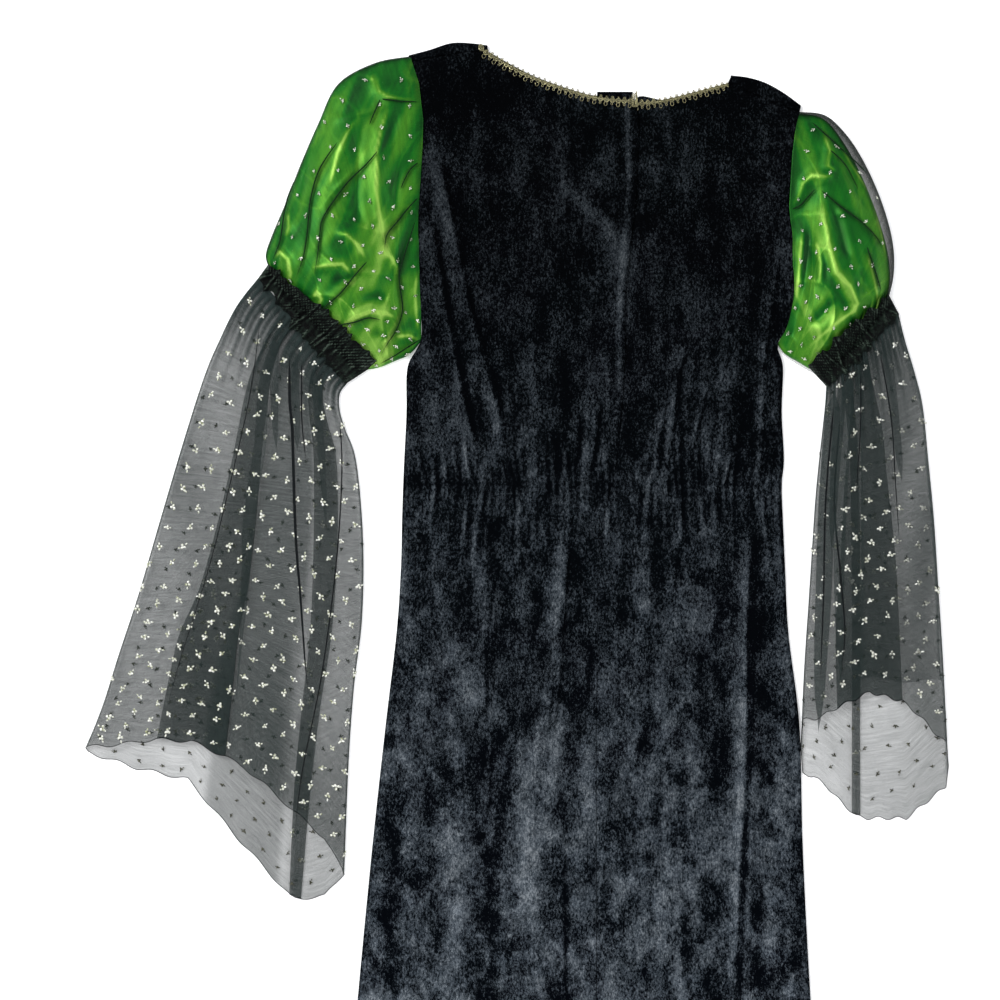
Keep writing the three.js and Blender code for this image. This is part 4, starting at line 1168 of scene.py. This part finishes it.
def tube(path, radius, sides=6):
    """Vertices and faces of a round thread along a path, all in mm."""
    path = np.asarray(path, float)
    ahead = np.gradient(path, axis=0)
    ahead /= np.linalg.norm(ahead, axis=1)[:, None] + 1e-12
    side = np.cross(ahead, [0, 0, 1.0])
    side /= np.linalg.norm(side, axis=1)[:, None] + 1e-12
    up = np.cross(side, ahead)
    radius = np.broadcast_to(np.asarray(radius, float), (len(path),))
    turn = np.linspace(0, 2 * math.pi, sides, endpoint=False)[None, :, None]
    spoke = np.cos(turn) * side[:, None] + np.sin(turn) * up[:, None]
    ring = path[:, None] + radius[:, None, None] * spoke
    verts = [*ring.reshape(-1, 3), path[0], path[-1]]
    first_cap, last_cap = len(verts) - 2, len(verts) - 1
    faces = []
    for i in range(len(path) - 1):
        for k in range(sides):
            a, b = i * sides + k, i * sides + (k + 1) % sides
            faces.append((a, b, b + sides, a + sides))
    last = (len(path) - 1) * sides
    for k in range(sides):
        faces.append((first_cap, (k + 1) % sides, k))
        faces.append((last_cap, last + k, last + (k + 1) % sides))
    return verts, faces


def mesh_piece(name, parts):
    """One piece from many small parts, each of them vertices and faces in mm."""
    verts, faces = [], []
    for part_verts, part_faces in parts:
        start = len(verts)
        verts += [tuple((np.asarray(v) + SHIFT) * MM) for v in part_verts]
        faces += [tuple(start + i for i in face) for face in part_faces]
    mesh = bpy.data.meshes.new(name)
    mesh.from_pydata(verts, [], faces)
    piece = bpy.data.objects.new(name, mesh)
    bpy.context.scene.collection.objects.link(piece)
    select_only(piece)
    bpy.ops.object.mode_set(mode="EDIT")
    bpy.ops.mesh.select_all(action="SELECT")
    bpy.ops.mesh.normals_make_consistent(inside=False)
    bpy.ops.object.mode_set(mode="OBJECT")
    bpy.ops.object.shade_smooth()
    return piece


def neck_path(side):
    """The neck edge of half the back, as places 0.3 mm apart, from the centre to the shoulder."""
    edge = table_points(YOKE[4:], "back_" + side)
    over_shoulder = (-99.0, 396.5)
    if side == "left":
        edge = np.concatenate([edge, [over_shoulder]])
    at = through(edge, np.linspace(0, len(edge) - 1, 400))
    steps = np.concatenate([[0], np.cumsum(np.linalg.norm(np.diff(at, axis=0), axis=1))])
    s = np.arange(0.8, steps[-1] - 0.5, 0.3)
    return np.stack([np.interp(s, steps, at[:, 0]), np.interp(s, steps, at[:, 1])], axis=1), s


def neck_braid(side):
    """Gimp braid: cords that wind round each other in eyelets, with small loops on both sides."""
    PITCH, REACH, PICOT = 10.6, 2.3, 1.9
    CORD, CENTRE_CORD, LOOP_CORD = 0.28, 0.34, 0.29  # radii
    path, s = neck_path(side)
    ahead = np.gradient(path, axis=0)
    ahead /= np.linalg.norm(ahead, axis=1)[:, None]
    inward = np.stack([ahead[:, 1], -ahead[:, 0]], axis=1) * (1 if side == "left" else -1)
    inward *= -1 if inward[len(inward) // 2, 1] > 0 else 1

    def place(at, offset, rise):
        i = np.clip(np.searchsorted(s, at), 0, len(s) - 1)
        p = path[i] + inward[i] * np.asarray(offset)[..., None]
        z = BACK_LEVEL + VELVET_SHELL / 2 + back_height(side, p[:, 0], p[:, 1]) + 0.75 + rise
        return np.stack([p[:, 0], p[:, 1], z], axis=1)

    CORE, COIL = BRAID_WIDTH / 2 - 3.6, 3.2
    parts = []
    phase = 2 * math.pi * s / PITCH
    for sign in (1, -1):
        for spread in (0.0, 0.75):
            wave = CORE + sign * (REACH - spread) * np.sin(phase)
            parts.append(tube(place(s, wave, 0.5 * sign * np.cos(phase) + 0.1 * spread)[::2], CORD))
    for k in range(3):
        turn = 2 * math.pi * s / COIL + k * 2.1
        twist, rise = CORE + 0.55 * np.cos(turn), 0.35 + 0.45 * np.sin(turn)
        parts.append(tube(place(s, twist, rise), CENTRE_CORD, 5))
    turn = np.linspace(-0.35 * math.pi, 1.35 * math.pi, 18)
    loops = int(s[-1] / (PITCH / 2))
    for i in range(loops):
        centre = (i + 0.5) * PITCH / 2
        for sign in (1, -1):
            size = PICOT * (1.0 if (i + (sign > 0)) % 2 else 0.55) * (1.0 if sign > 0 else 0.7)
            long = 1.0 if sign > 0 else 0.35
            at = centre + size * 0.75 * np.cos(turn) + 0.3 * math.sin(5 * i)
            off = CORE + sign * (REACH + 0.4 + size * long * (0.55 + np.sin(turn)))
            ring = place(np.clip(at, s[0], s[-1]), off, 0.25 * np.cos(turn))
            parts.append(tube(ring, LOOP_CORD, 5))
    return mesh_piece(f"{side}_neck_gimp", parts)


def thread_end():
    """The frayed gold end of the braid, standing up beside the strip at the centre back."""
    rng = np.random.default_rng(3)
    parts = []
    frayed_from = 340.0
    base, level = centre_at(frayed_from + 6) + 1.5, BACK_LEVEL + 3.4
    for _ in range(16):
        start = np.array([base + rng.uniform(-2.2, 2.2), frayed_from, level + rng.uniform(0, 0.8)])
        stop = start + np.array([rng.uniform(-1.6, 2.6), rng.uniform(9, 15), rng.uniform(-0.8, 0.6)])
        t = np.linspace(0, 1, 9)[:, None]
        sway = np.sin(t * math.pi * rng.uniform(0.7, 1.6)) * np.array([[rng.normal(0, 0.8), 0, 0.3]])
        parts.append(tube(mix(start, stop, t) + sway, 0.28, 5))
    return mesh_piece("neck_gimp_end", parts)


def sprigs(name, points, seed, shows, size, pitch, skip):
    """Small sprigs of glitter dots with a tail, on a staggered lattice of the cloth's own surface.
    Only those that the given rule lets show are made, on the side that it names."""
    LIFT = 0.4
    corners = np.linspace(0, 2 * math.pi, 6, endpoint=False)
    faces = [(6, i, (i + 1) % 6) for i in range(6)] + [(7, (i + 1) % 6, i) for i in range(6)]
    rng = np.random.default_rng(seed)
    over, down = cloth_lengths(points)
    parts = []
    for j, at in enumerate(np.arange(skip, down[-1] - 3, 0.85 * pitch)):
        for half in np.arange(over.min(), over.max(), pitch):
            spot = half + (pitch / 2 if j % 2 else 0) + rng.normal(0, 1.3)
            r = int(np.argmin(np.abs(down - at - rng.normal(0, 1.3))))
            turn, grow = rng.uniform(0, 2 * math.pi), size * rng.uniform(0.85, 1.15)
            kinds = rng.random(8)
            if not over[r, 0] + 2 < spot < over[r, -1] - 2:
                continue
            k = int(np.argmin(np.abs(over[r] - spot)))
            r0, r1 = max(r - 2, 0), min(r + 2, points.shape[0] - 1)
            k0, k1 = max(k - 1, 0), min(k + 1, points.shape[1] - 1)
            du, dv = points[r, k1] - points[r, k0], points[r1, k] - points[r0, k]
            normal = np.cross(du, dv)
            if min(np.linalg.norm(du), np.linalg.norm(dv), np.linalg.norm(normal)) < 0.2:
                continue
            normal /= np.linalg.norm(normal)
            side = shows(r, k, normal)
            if side == 0 or abs(normal[2]) < 0.6:
                continue
            du /= np.linalg.norm(du)
            outward = normal * side
            dv = np.cross(normal, du)
            centre = points[r, k] + outward * LIFT
            dots = [(f * 2 * math.pi / 3, 1.35, 1.5, 1.25) for f in range(3)]
            dots.append((0.5 + kinds[0], 3.3, 1.5, 0.8))
            if kinds[1] < 0.5:
                dots.append((3.4 + kinds[2], 2.9, 1.0, 0.9))
            for angle, reach, long, wide in dots:
                out = du * math.cos(turn + angle) + dv * math.sin(turn + angle)
                beside = np.cross(normal, out)
                middle = centre + out * grow * reach * rng.uniform(0.85, 1.2)
                tilt = outward * rng.normal(0, 0.3)
                along, aside = (out + tilt * 0.5) * grow * long, (beside + tilt) * grow * wide
                ring = [middle + along * math.cos(t) + aside * math.sin(t) for t in corners]
                flake = np.array([*ring, middle + outward * 0.4, middle - outward * 0.1])
                flake[:, 2] = np.maximum(flake[:, 2], 0.03)
                parts.append((flake, faces))
    return mesh_piece(name, parts)


# Finishes


def new_material(name):
    material = bpy.data.materials.new(name)
    material.use_nodes = True
    tree = material.node_tree
    shader = next(n for n in tree.nodes if n.type == "BSDF_PRINCIPLED")
    return material, tree, shader, tree.nodes.new("ShaderNodeTexCoord").outputs


def set_inputs(node, values):
    for name, value in values.items():
        node.inputs[name].default_value = value


def add_group(tree, group, **values):
    node = tree.nodes.new("ShaderNodeGroup")
    node.node_tree = group
    set_inputs(node, values)
    return node


def attribute(tree, name):
    node = tree.nodes.new("ShaderNodeAttribute")
    node.attribute_name = name
    return node.outputs["Fac"]


def separate(tree, vector):
    node = tree.nodes.new("ShaderNodeSeparateXYZ")
    tree.links.new(vector, node.inputs[0])
    return node.outputs


def add_bump(tree, shader, height, strength, distance):
    node = tree.nodes.new("ShaderNodeBump")
    set_inputs(node, {"Strength": strength, "Distance": distance})
    tree.links.new(height, node.inputs["Height"])
    tree.links.new(node.outputs[0], shader.inputs["Normal"])


def group_tree(name, inputs, outputs):
    tree = bpy.data.node_groups.new(name, "ShaderNodeTree")
    for label, kind, value in inputs:
        socket = tree.interface.new_socket(name=label, in_out="INPUT", socket_type=kind)
        if value is not None:
            socket.default_value = value
    for label, kind in outputs:
        tree.interface.new_socket(name=label, in_out="OUTPUT", socket_type=kind)
    return tree, tree.nodes.new("NodeGroupInput"), tree.nodes.new("NodeGroupOutput")


def math_node(tree, operation, a, b=None, clamp=False):
    """One step of arithmetic. Each of the values is a number or the output of a node."""
    node = tree.nodes.new("ShaderNodeMath")
    node.operation = operation
    node.use_clamp = clamp
    for socket, value in zip(node.inputs, (a, b)):
        if value is None:
            continue
        if isinstance(value, (int, float)):
            socket.default_value = value
        else:
            tree.links.new(value, socket)
    return node.outputs[0]


def noise_node(tree, vector, scale, detail, roughness=0.5, distortion=0.0):
    node = tree.nodes.new("ShaderNodeTexNoise")
    values = {"Scale": scale, "Detail": detail, "Roughness": roughness, "Distortion": distortion}
    set_inputs(node, values)
    tree.links.new(vector, node.inputs["Vector"])
    return node.outputs["Fac"]


def scaled(tree, vector, scale):
    node = tree.nodes.new("ShaderNodeVectorMath")
    node.operation = "MULTIPLY"
    tree.links.new(vector, node.inputs[0])
    node.inputs[1].default_value = scale
    return node.outputs[0]


def ramp_node(tree, value, *stops):
    node = tree.nodes.new("ShaderNodeValToRGB")
    ramp = node.color_ramp
    while len(ramp.elements) < len(stops):
        ramp.elements.new(0.5)
    for element, (place, colour) in zip(ramp.elements, stops):
        element.position = place
        element.color = (*colour, 1)
    tree.links.new(value, node.inputs["Fac"])
    return node.outputs["Color"]


def mix_colour(tree, factor, a, b):
    node = tree.nodes.new("ShaderNodeMix")
    node.data_type = "RGBA"
    for socket, value in ((node.inputs[0], factor), (node.inputs[6], a), (node.inputs[7], b)):
        if isinstance(value, tuple):
            socket.default_value = (*value, 1)
        elif isinstance(value, (int, float)):
            socket.default_value = value
        else:
            tree.links.new(value, socket)
    return node.outputs[2]


def map_range(tree, value, low, high):
    node = tree.nodes.new("ShaderNodeMapRange")
    set_inputs(node, {"From Min": low, "From Max": high})
    tree.links.new(value, node.inputs["Value"])
    return node.outputs["Result"]


def on_line(tree, value, slope, level, clamp=False):
    """The value times a slope, raised to a level."""
    return math_node(tree, "ADD", math_node(tree, "MULTIPLY", value, slope), level, clamp=clamp)


def add_up(tree, *parts):
    """The sum of some values, each with its weight."""
    total = 0.0
    for value, weight in parts:
        total = math_node(tree, "ADD", total, math_node(tree, "MULTIPLY", value, weight))
    return total


def crushed_pile_group():
    """Crushed pile: small lighter tufts, crowded in some patches, with painted light and shade on
    folds added.
    """
    tree, inside, out = group_tree(
        "crushed_pile",
        [
            ("Vector", "NodeSocketVector", None),
            ("PaintedLight", "NodeSocketFloat", 0.5),
            ("Level", "NodeSocketFloat", 0.0),
        ],
        [("Light", "NodeSocketFloat"), ("Height", "NodeSocketFloat")],
    )
    vector = inside.outputs["Vector"]
    patches = noise_node(tree, scaled(tree, vector, (1, 0.6, 1)), 42, 3, 0.6, 0.3)
    broad = noise_node(tree, scaled(tree, vector, (1, 0.45, 1)), 13, 2, 0.5, 0.2)
    streaks = noise_node(tree, scaled(tree, vector, (1, 0.10, 1)), 95, 2, 0.5, 0.2)
    tufts = noise_node(tree, scaled(tree, vector, (1, 0.55, 1)), 640, 2, 0.6, 0.3)
    mottles = noise_node(tree, scaled(tree, vector, (1, 0.75, 1)), 85, 2, 0.5, 0.8)
    sparks = noise_node(tree, scaled(tree, vector, (1, 0.8, 1)), 1500, 1, 0.5)
    clumps = noise_node(tree, scaled(tree, vector, (1, 0.6, 1)), 260, 2, 0.5, 0.6)
    # The pile's own tufts and patches, plus the painted light and shade from the PaintedLight input.
    total = add_up(
        tree,
        (tufts, 2.7),
        (sparks, 1.7),
        (clumps, 0.9),
        (patches, 1.1),
        (broad, 0.6),
        (streaks, 0.8),
        (inside.outputs["PaintedLight"], 1.25),
    )
    # The level is painted lighter down the skirt; it also strengthens the mottles there.
    uneven = add_up(tree, (patches, 1.0), (mottles, 0.8))
    uneven = math_node(tree, "SUBTRACT", uneven, 0.9)
    uneven = math_node(tree, "MULTIPLY", uneven, inside.outputs["Level"])
    total = add_up(tree, (total, 1.0), (uneven, 3.4))
    total = math_node(tree, "ADD", total, inside.outputs["Level"])
    light = math_node(tree, "MULTIPLY", math_node(tree, "SUBTRACT", total, 4.72), 0.6, clamp=True)
    tree.links.new(light, out.inputs["Light"])
    tree.links.new(add_up(tree, (tufts, 1.0), (clumps, 1.2)), out.inputs["Height"])
    return tree


def velvet_material(pile):
    material, tree, shader, coordinates = new_material("crushed_velvet")
    split = separate(tree, coordinates["Object"])
    # Painted light: drop is 0 at the yoke and 1 low on the skirt, so the velvet is painted lighter
    # down the skirt, both in the pile's level and in its colour.
    drop = map_range(tree, split["Y"], 0.45, -0.20)
    # The painted light and shade of the velvet's folds, edges and patches.
    caught = attribute(tree, "catch")
    pattern = add_group(tree, pile)
    tree.links.new(coordinates["Object"], pattern.inputs["Vector"])
    tree.links.new(caught, pattern.inputs["PaintedLight"])
    tree.links.new(on_line(tree, drop, 0.38, 0.18), pattern.inputs["Level"])
    tint = noise_node(tree, coordinates["Object"], 60, 2)
    # The pile's tones together with the painted light, up to brighter than white.
    pile_and_painted_light = ramp_node(
        tree,
        pattern.outputs["Light"],
        (0.0, (0.005, 0.010, 0.018)),
        (0.30, (0.29, 0.33, 0.37)),
        (0.60, (0.74, 0.79, 0.84)),
        (1.0, (1.9, 1.9, 1.9)),
    )
    low = mix_colour(tree, tint, (0.086, 0.099, 0.114), (0.100, 0.107, 0.112))
    # The colour under the pile, painted darker towards the yoke by drop.
    bright = mix_colour(tree, drop, (0.034, 0.038, 0.041), low)
    blend = tree.nodes.new("ShaderNodeMix")
    blend.data_type = "RGBA"
    blend.blend_type = "MULTIPLY"
    blend.inputs[0].default_value = 1.0
    tree.links.new(bright, blend.inputs[6])
    tree.links.new(pile_and_painted_light, blend.inputs[7])
    colour = blend.outputs[2]
    tree.links.new(colour, shader.inputs["Base Color"])
    set_inputs(shader, {"Roughness": 0.85, "Specular IOR Level": 0.02})
    add_bump(tree, shader, pattern.outputs["Height"], 0.35, 0.0008)
    return material


def satin_material():
    """Satin: emerald, painted darker in its hollows and yellow green as a painted highlight where it
    faces the light, thinly ridged.
    """
    material, tree, shader, coordinates = new_material("green_satin_cloth")
    caught = attribute(tree, "catch")
    flat = coordinates["UV"]
    split = separate(tree, coordinates["Object"])
    outward = math_node(tree, "ABSOLUTE", split["X"])
    beside = add_up(tree, (outward, 1.0), (split["Y"], 0.34))
    pulled = tree.nodes.new("ShaderNodeCombineXYZ")
    tree.links.new(beside, pulled.inputs[0])
    tree.links.new(math_node(tree, "MULTIPLY", split["Y"], 0.24), pulled.inputs[1])
    tree.links.new(split["X"], pulled.inputs[2])
    # Painted highlights along the crests of raised creases.
    ridges = attribute(tree, "ridge")
    tones = noise_node(tree, scaled(tree, pulled.outputs[0], (1, 1, 0.02)), 62, 2, 0.5, 0.3)
    veins = noise_node(tree, scaled(tree, flat, (0.5, 1, 1)), 22, 1, 0.4, 0.5)
    vein = math_node(tree, "ABSOLUTE", math_node(tree, "SUBTRACT", veins, 0.5))
    vein = on_line(tree, vein, -40.0, 1.0, clamp=True)
    floats = noise_node(tree, scaled(tree, flat, (1, 0.12, 1)), 1500, 2, 0.6)
    # The colour level: random tones, painted light and shade, painted crease highlights, veins and
    # the weave's floats.
    level = add_up(
        tree,
        (tones, 1.15),
        (caught, 0.85),
        (ridges, 0.40),
        (vein, 0.10),
        (floats, 0.16),
    )
    level = math_node(tree, "SUBTRACT", level, 0.62, clamp=True)
    colour = ramp_node(
        tree,
        level,
        (0.08, (0.002, 0.050, 0.010)),
        (0.34, (0.007, 0.150, 0.012)),
        (0.60, (0.070, 0.27, 0.018)),
        (0.95, (0.34, 0.62, 0.10)),
    )
    tree.links.new(colour, shader.inputs["Base Color"])
    tree.links.new(on_line(tree, floats, 0.16, 0.33), shader.inputs["Roughness"])
    set_inputs(
        shader,
        {
            "Metallic": 0.2,
            "Specular IOR Level": 0.22,
            "Specular Tint": (0.75, 1.0, 0.45, 1),
        },
    )
    add_bump(tree, shader, add_up(tree, (vein, 0.4), (tones, 0.9), (floats, 0.08)), 0.4, 0.0008)
    return material


def net_group():
    """Fine net: the share of a place that is thread, from the cells' edges."""
    tree, inside, out = group_tree(
        "fine_net",
        [
            ("Vector", "NodeSocketVector", None),
            ("Cells", "NodeSocketFloat", NET_CELLS),
            ("Thread", "NodeSocketFloat", 0.1),
            ("Gathered", "NodeSocketFloat", 0.0),
        ],
        [("Alpha", "NodeSocketFloat")],
    )
    cells = tree.nodes.new("ShaderNodeTexVoronoi")
    cells.voronoi_dimensions = "2D"
    cells.feature = "DISTANCE_TO_EDGE"
    cells.inputs["Randomness"].default_value = 0.35
    tree.links.new(inside.outputs["Vector"], cells.inputs["Vector"])
    tree.links.new(inside.outputs["Cells"], cells.inputs["Scale"])
    bunched = math_node(tree, "MULTIPLY", inside.outputs["Gathered"], 0.34)
    wide = math_node(tree, "ADD", inside.outputs["Thread"], bunched)
    hole = math_node(tree, "SUBTRACT", cells.outputs["Distance"], wide)
    thread = on_line(tree, hole, -14.0, 0.5, clamp=True)
    open_part = on_line(tree, wide, -2.0, 1.0, clamp=True)
    cover = math_node(tree, "SUBTRACT", 1.0, math_node(tree, "MULTIPLY", open_part, open_part))
    tree.links.new(add_up(tree, (thread, 0.4), (cover, 0.6)), out.inputs["Alpha"])
    return tree


def net_material(name, weave, thread, tint):
    material, tree, shader, coordinates = new_material(name)
    gathered = attribute(tree, "gathered")
    pattern = add_group(tree, weave, Cells=NET_CELLS, Thread=thread)
    tree.links.new(coordinates["UV"], pattern.inputs["Vector"])
    streaks = noise_node(tree, scaled(tree, coordinates["UV"], (0.07, 1, 1)), 520, 3, 0.7)
    uneven = math_node(tree, "MULTIPLY", math_node(tree, "SUBTRACT", streaks, 0.5), 0.45)
    tree.links.new(math_node(tree, "ADD", gathered, uneven), pattern.inputs["Gathered"])
    tree.links.new(pattern.outputs["Alpha"], shader.inputs["Alpha"])
    shade = noise_node(tree, coordinates["UV"], 160, 2, 0.6)
    colour = mix_colour(tree, shade, tuple(c * 0.5 for c in tint), tuple(c * 1.6 for c in tint))
    tree.links.new(colour, shader.inputs["Base Color"])
    set_inputs(shader, {"Roughness": 0.8, "Specular IOR Level": 0.04})
    return material


def thread_material(name, dark, light, roughness, metallic, pitch):
    """Twisted metallic or plain thread, with the fine stripes of its twist."""
    material, tree, shader, coordinates = new_material(name)
    twist = noise_node(tree, coordinates["Object"], pitch, 3, 0.7, 0.5)
    sharp = map_range(tree, twist, 0.38, 0.62)
    tree.links.new(mix_colour(tree, sharp, dark, light), shader.inputs["Base Color"])
    tree.links.new(on_line(tree, sharp, -0.15, roughness), shader.inputs["Roughness"])
    set_inputs(shader, {"Metallic": metallic, "Specular IOR Level": 0.5 if metallic else 0.05})
    add_bump(tree, shader, twist, 0.5, 0.0002)
    return material


def ruffle_material(weave):
    """Net gathered so tightly that it is nearly black, with a painted grey green highlight on its
    ruffles.
    """
    material, tree, shader, coordinates = new_material("gathered_net")
    # Painted light on the ruffles, for their grey green highlight.
    caught = attribute(tree, "catch")
    mottle = noise_node(tree, coordinates["Object"], 150, 3, 0.6, 0.8)
    fine = noise_node(tree, coordinates["Object"], 1300, 2, 0.6)
    level = add_up(tree, (caught, 0.9), (mottle, 1.3), (fine, 0.35))
    level = math_node(tree, "SUBTRACT", level, 0.95, clamp=True)
    colour = ramp_node(
        tree,
        level,
        (0.25, (0.0008, 0.0012, 0.0012)),
        (0.60, (0.007, 0.013, 0.009)),
        (0.95, (0.055, 0.075, 0.058)),
    )
    tree.links.new(colour, shader.inputs["Base Color"])
    gathered = attribute(tree, "gathered")
    pattern = add_group(tree, weave, Cells=NET_CELLS, Thread=0.16)
    tree.links.new(coordinates["UV"], pattern.inputs["Vector"])
    tree.links.new(gathered, pattern.inputs["Gathered"])
    tree.links.new(pattern.outputs["Alpha"], shader.inputs["Alpha"])
    set_inputs(shader, {"Roughness": 0.8, "Specular IOR Level": 0.08})
    return material


# The setting


def pale_floor():
    FLOOR_SIZE, FLOOR_LEVEL = 16, -0.0006
    bpy.ops.object.select_all(action="DESELECT")
    bpy.ops.mesh.primitive_plane_add(size=FLOOR_SIZE, location=(0, 0, FLOOR_LEVEL))
    floor = bpy.context.object
    floor.name = "floor"
    material, tree, shader, coordinates = new_material("floor_paper")
    speckle = noise_node(tree, coordinates["Object"], 3, 2)
    colour = mix_colour(tree, speckle, (0.90, 0.90, 0.90), (0.94, 0.94, 0.94))
    tree.links.new(colour, shader.inputs["Base Color"])
    set_inputs(
        shader,
        {
            "Roughness": 0.95,
            "Specular IOR Level": 0.0,
            "Emission Color": (1, 1, 1, 1),
            "Emission Strength": 0.3,
        },
    )
    floor.data.materials.append(material)


def soft_light(name, place, aim, size, power):
    bpy.ops.object.light_add(type="AREA", location=place)
    lamp = bpy.context.object
    lamp.name = name
    lamp.data.size = size
    lamp.data.energy = power
    lamp.rotation_euler = (Vector(aim) - Vector(place)).to_track_quat("-Z", "Y").to_euler()


def studio():
    PHOTO_CENTRE = (-0.0153, 0.203)  # what the middle of the photo shows
    PHOTO_WIDTH = 0.9  # metres across the photo
    LENS, SENSOR, GARMENT_TOP = 120.0, 36.0, 0.004
    distance = PHOTO_WIDTH * LENS / SENSOR
    bpy.ops.object.camera_add(location=(*PHOTO_CENTRE, GARMENT_TOP + distance), rotation=(0, 0, 0))
    camera = bpy.context.object
    camera.data.lens = LENS
    camera.data.sensor_width = SENSOR
    camera.data.clip_end = 50
    bpy.context.scene.camera = camera
    soft_light("key", (-1.7, 1.2, 2.4), (0, 0.2, 0), 1.3, 84)
    soft_light("fill", (2.2, 0.2, 2.0), (0, 0.1, 0), 1.6, 22)
    soft_light("low", (0.2, -2.2, 1.6), (0, 0.1, 0), 1.6, 18)
    world = bpy.data.worlds.new("studio") if not bpy.data.worlds else bpy.data.worlds[0]
    bpy.context.scene.world = world
    world.use_nodes = True
    background = next(n for n in world.node_tree.nodes if n.type == "BACKGROUND")
    tree = world.node_tree
    split = separate(tree, tree.nodes.new("ShaderNodeTexCoord").outputs["Generated"])
    sky = ramp_node(
        tree,
        split["Z"],
        (0.05, (1.0, 1.0, 1.0)),
        (0.55, (0.75, 0.77, 0.8)),
        (0.90, (0.22, 0.23, 0.25)),
    )
    tree.links.new(sky, background.inputs["Color"])
    background.inputs["Strength"].default_value = 1.0
    bpy.context.scene.view_settings.view_transform = "Standard"
    pale_floor()


def main():
    studio()
    pile, weave = crushed_pile_group(), net_group()
    velvet = velvet_material(pile)
    satin = satin_material()
    gown_net = net_material("glitter_net_cloth", weave, 0.128, (0.017, 0.025, 0.024))
    sleeve_net = net_material("puff_net_cloth", weave, 0.045, (0.004, 0.008, 0.005))
    gathered_black = ruffle_material(weave)
    gold, edge_black, crease_green, flake_gold, flake_pale, flake_dim, flake_back = (
        thread_material(*finish)
        for finish in (
            ("gold_thread", (0.010, 0.009, 0.003), (0.43, 0.395, 0.21), 0.34, 0.6, 900),
            ("net_edge_thread", (0.002, 0.0025, 0.003), (0.010, 0.012, 0.013), 0.85, 0.0, 1200),
            ("net_crease", (0.002, 0.010, 0.003), (0.006, 0.024, 0.007), 0.8, 0.0, 500),
            ("gold_flakes", (0.30, 0.32, 0.18), (1.0, 1.0, 0.95), 0.42, 0.0, 420),
            ("pale_gold_flakes", (0.36, 0.37, 0.28), (1.0, 1.0, 0.93), 0.42, 0.2, 300),
            ("dim_flakes", (0.07, 0.13, 0.04), (1.0, 1.0, 0.88), 0.42, 0.2, 240),
            ("flake_backs", (0.010, 0.012, 0.010), (0.14, 0.14, 0.10), 0.7, 0.0, 700),
        )
    )

    front = dress_piece(front_panel(), velvet, "velvet", "front_panel")
    strip = dress_piece(placket_strip(), velvet, "velvet", "placket_underlap")
    for side in ("left", "right"):
        back = dress_piece(back_panel(side), velvet, "velvet", "back_" + side)
        dress_piece(neck_braid(side), gold, "gold_braid", f"{side}_neck_braid")

        puff, _, _ = puff_cloth(side, "satin")
        dress_piece(puff, satin, "green_satin", f"{side}_puff_satin")
        over, net_points, is_over = puff_cloth(side, "net")
        dress_piece(over, sleeve_net, "glitter_net", f"{side}_puff_net")
        height = top_of(net_points)
        lines = [ribbon(height, fold["line"], width=1.25, lift=0.25) for fold in NET_FOLDS[side]]
        dress_piece(mesh_piece(f"{side}_puff_net_creases", lines), crease_green, "glitter_net")

        fall, fall_points = flounce_cloth(side)
        dress_piece(fall, gown_net, "glitter_net", f"{side}_flounce")
        over_both = lambda x, y, a=height, b=top_of(fall_points): np.maximum(a(x, y), b(x, y))
        casing = cuff_cloth(side, over_both)
        dress_piece(casing, gathered_black, "glitter_net", f"{side}_cuff_casing")

        height = top_of(fall_points)
        lines = [ribbon(height, pleat["line"], pleat["width"], lift=0.8) for pleat in PLEATS[side]]
        dress_piece(mesh_piece(f"{side}_flounce_pleats", lines), edge_black, "glitter_net")
        for i, pleat in enumerate(SOFT_PLEATS[side]):
            band = soft_pleat(f"{side}_flounce_pleat_{i}", height, pleat)
            dress_piece(band, gown_net, "glitter_net")
        if side == "right":
            dress_piece(turned_layer(height), gown_net, "glitter_net")

        metal = flake_gold if side == "left" else flake_pale
        front_side = lambda r, k, normal: 1 if normal[2] > 0 else 0
        back_side = lambda r, k, normal: -1 if normal[2] < 0 else 0
        over_side = lambda r, k, normal: (1 if normal[2] > 0 else -1) if is_over[r, k] else 0
        for name, points, seed, shows, size, pitch, skip, finish in (
            ("flounce_sprigs", fall_points, 60, front_side, 1.0, 21, 14, metal),
            ("flounce_sprig_backs", fall_points, 60, back_side, 0.62, 21, 14, flake_back),
            ("puff_sprigs", net_points, 61, over_side, 0.6, 24, 9, flake_dim),
        ):
            flakes = sprigs(f"{side}_{name}", points, seed, shows, size, pitch, skip)
            dress_piece(flakes, finish, "glitter_net")

        hem = np.concatenate([fall_points[-1], fall_points[-1][:1]])
        thread = mesh_piece(f"{side}_flounce_hem", [tube(hem, 0.35, 5)])
        dress_piece(thread, edge_black, "glitter_net")
    dress_piece(thread_end(), gold, "gold_braid")


main()
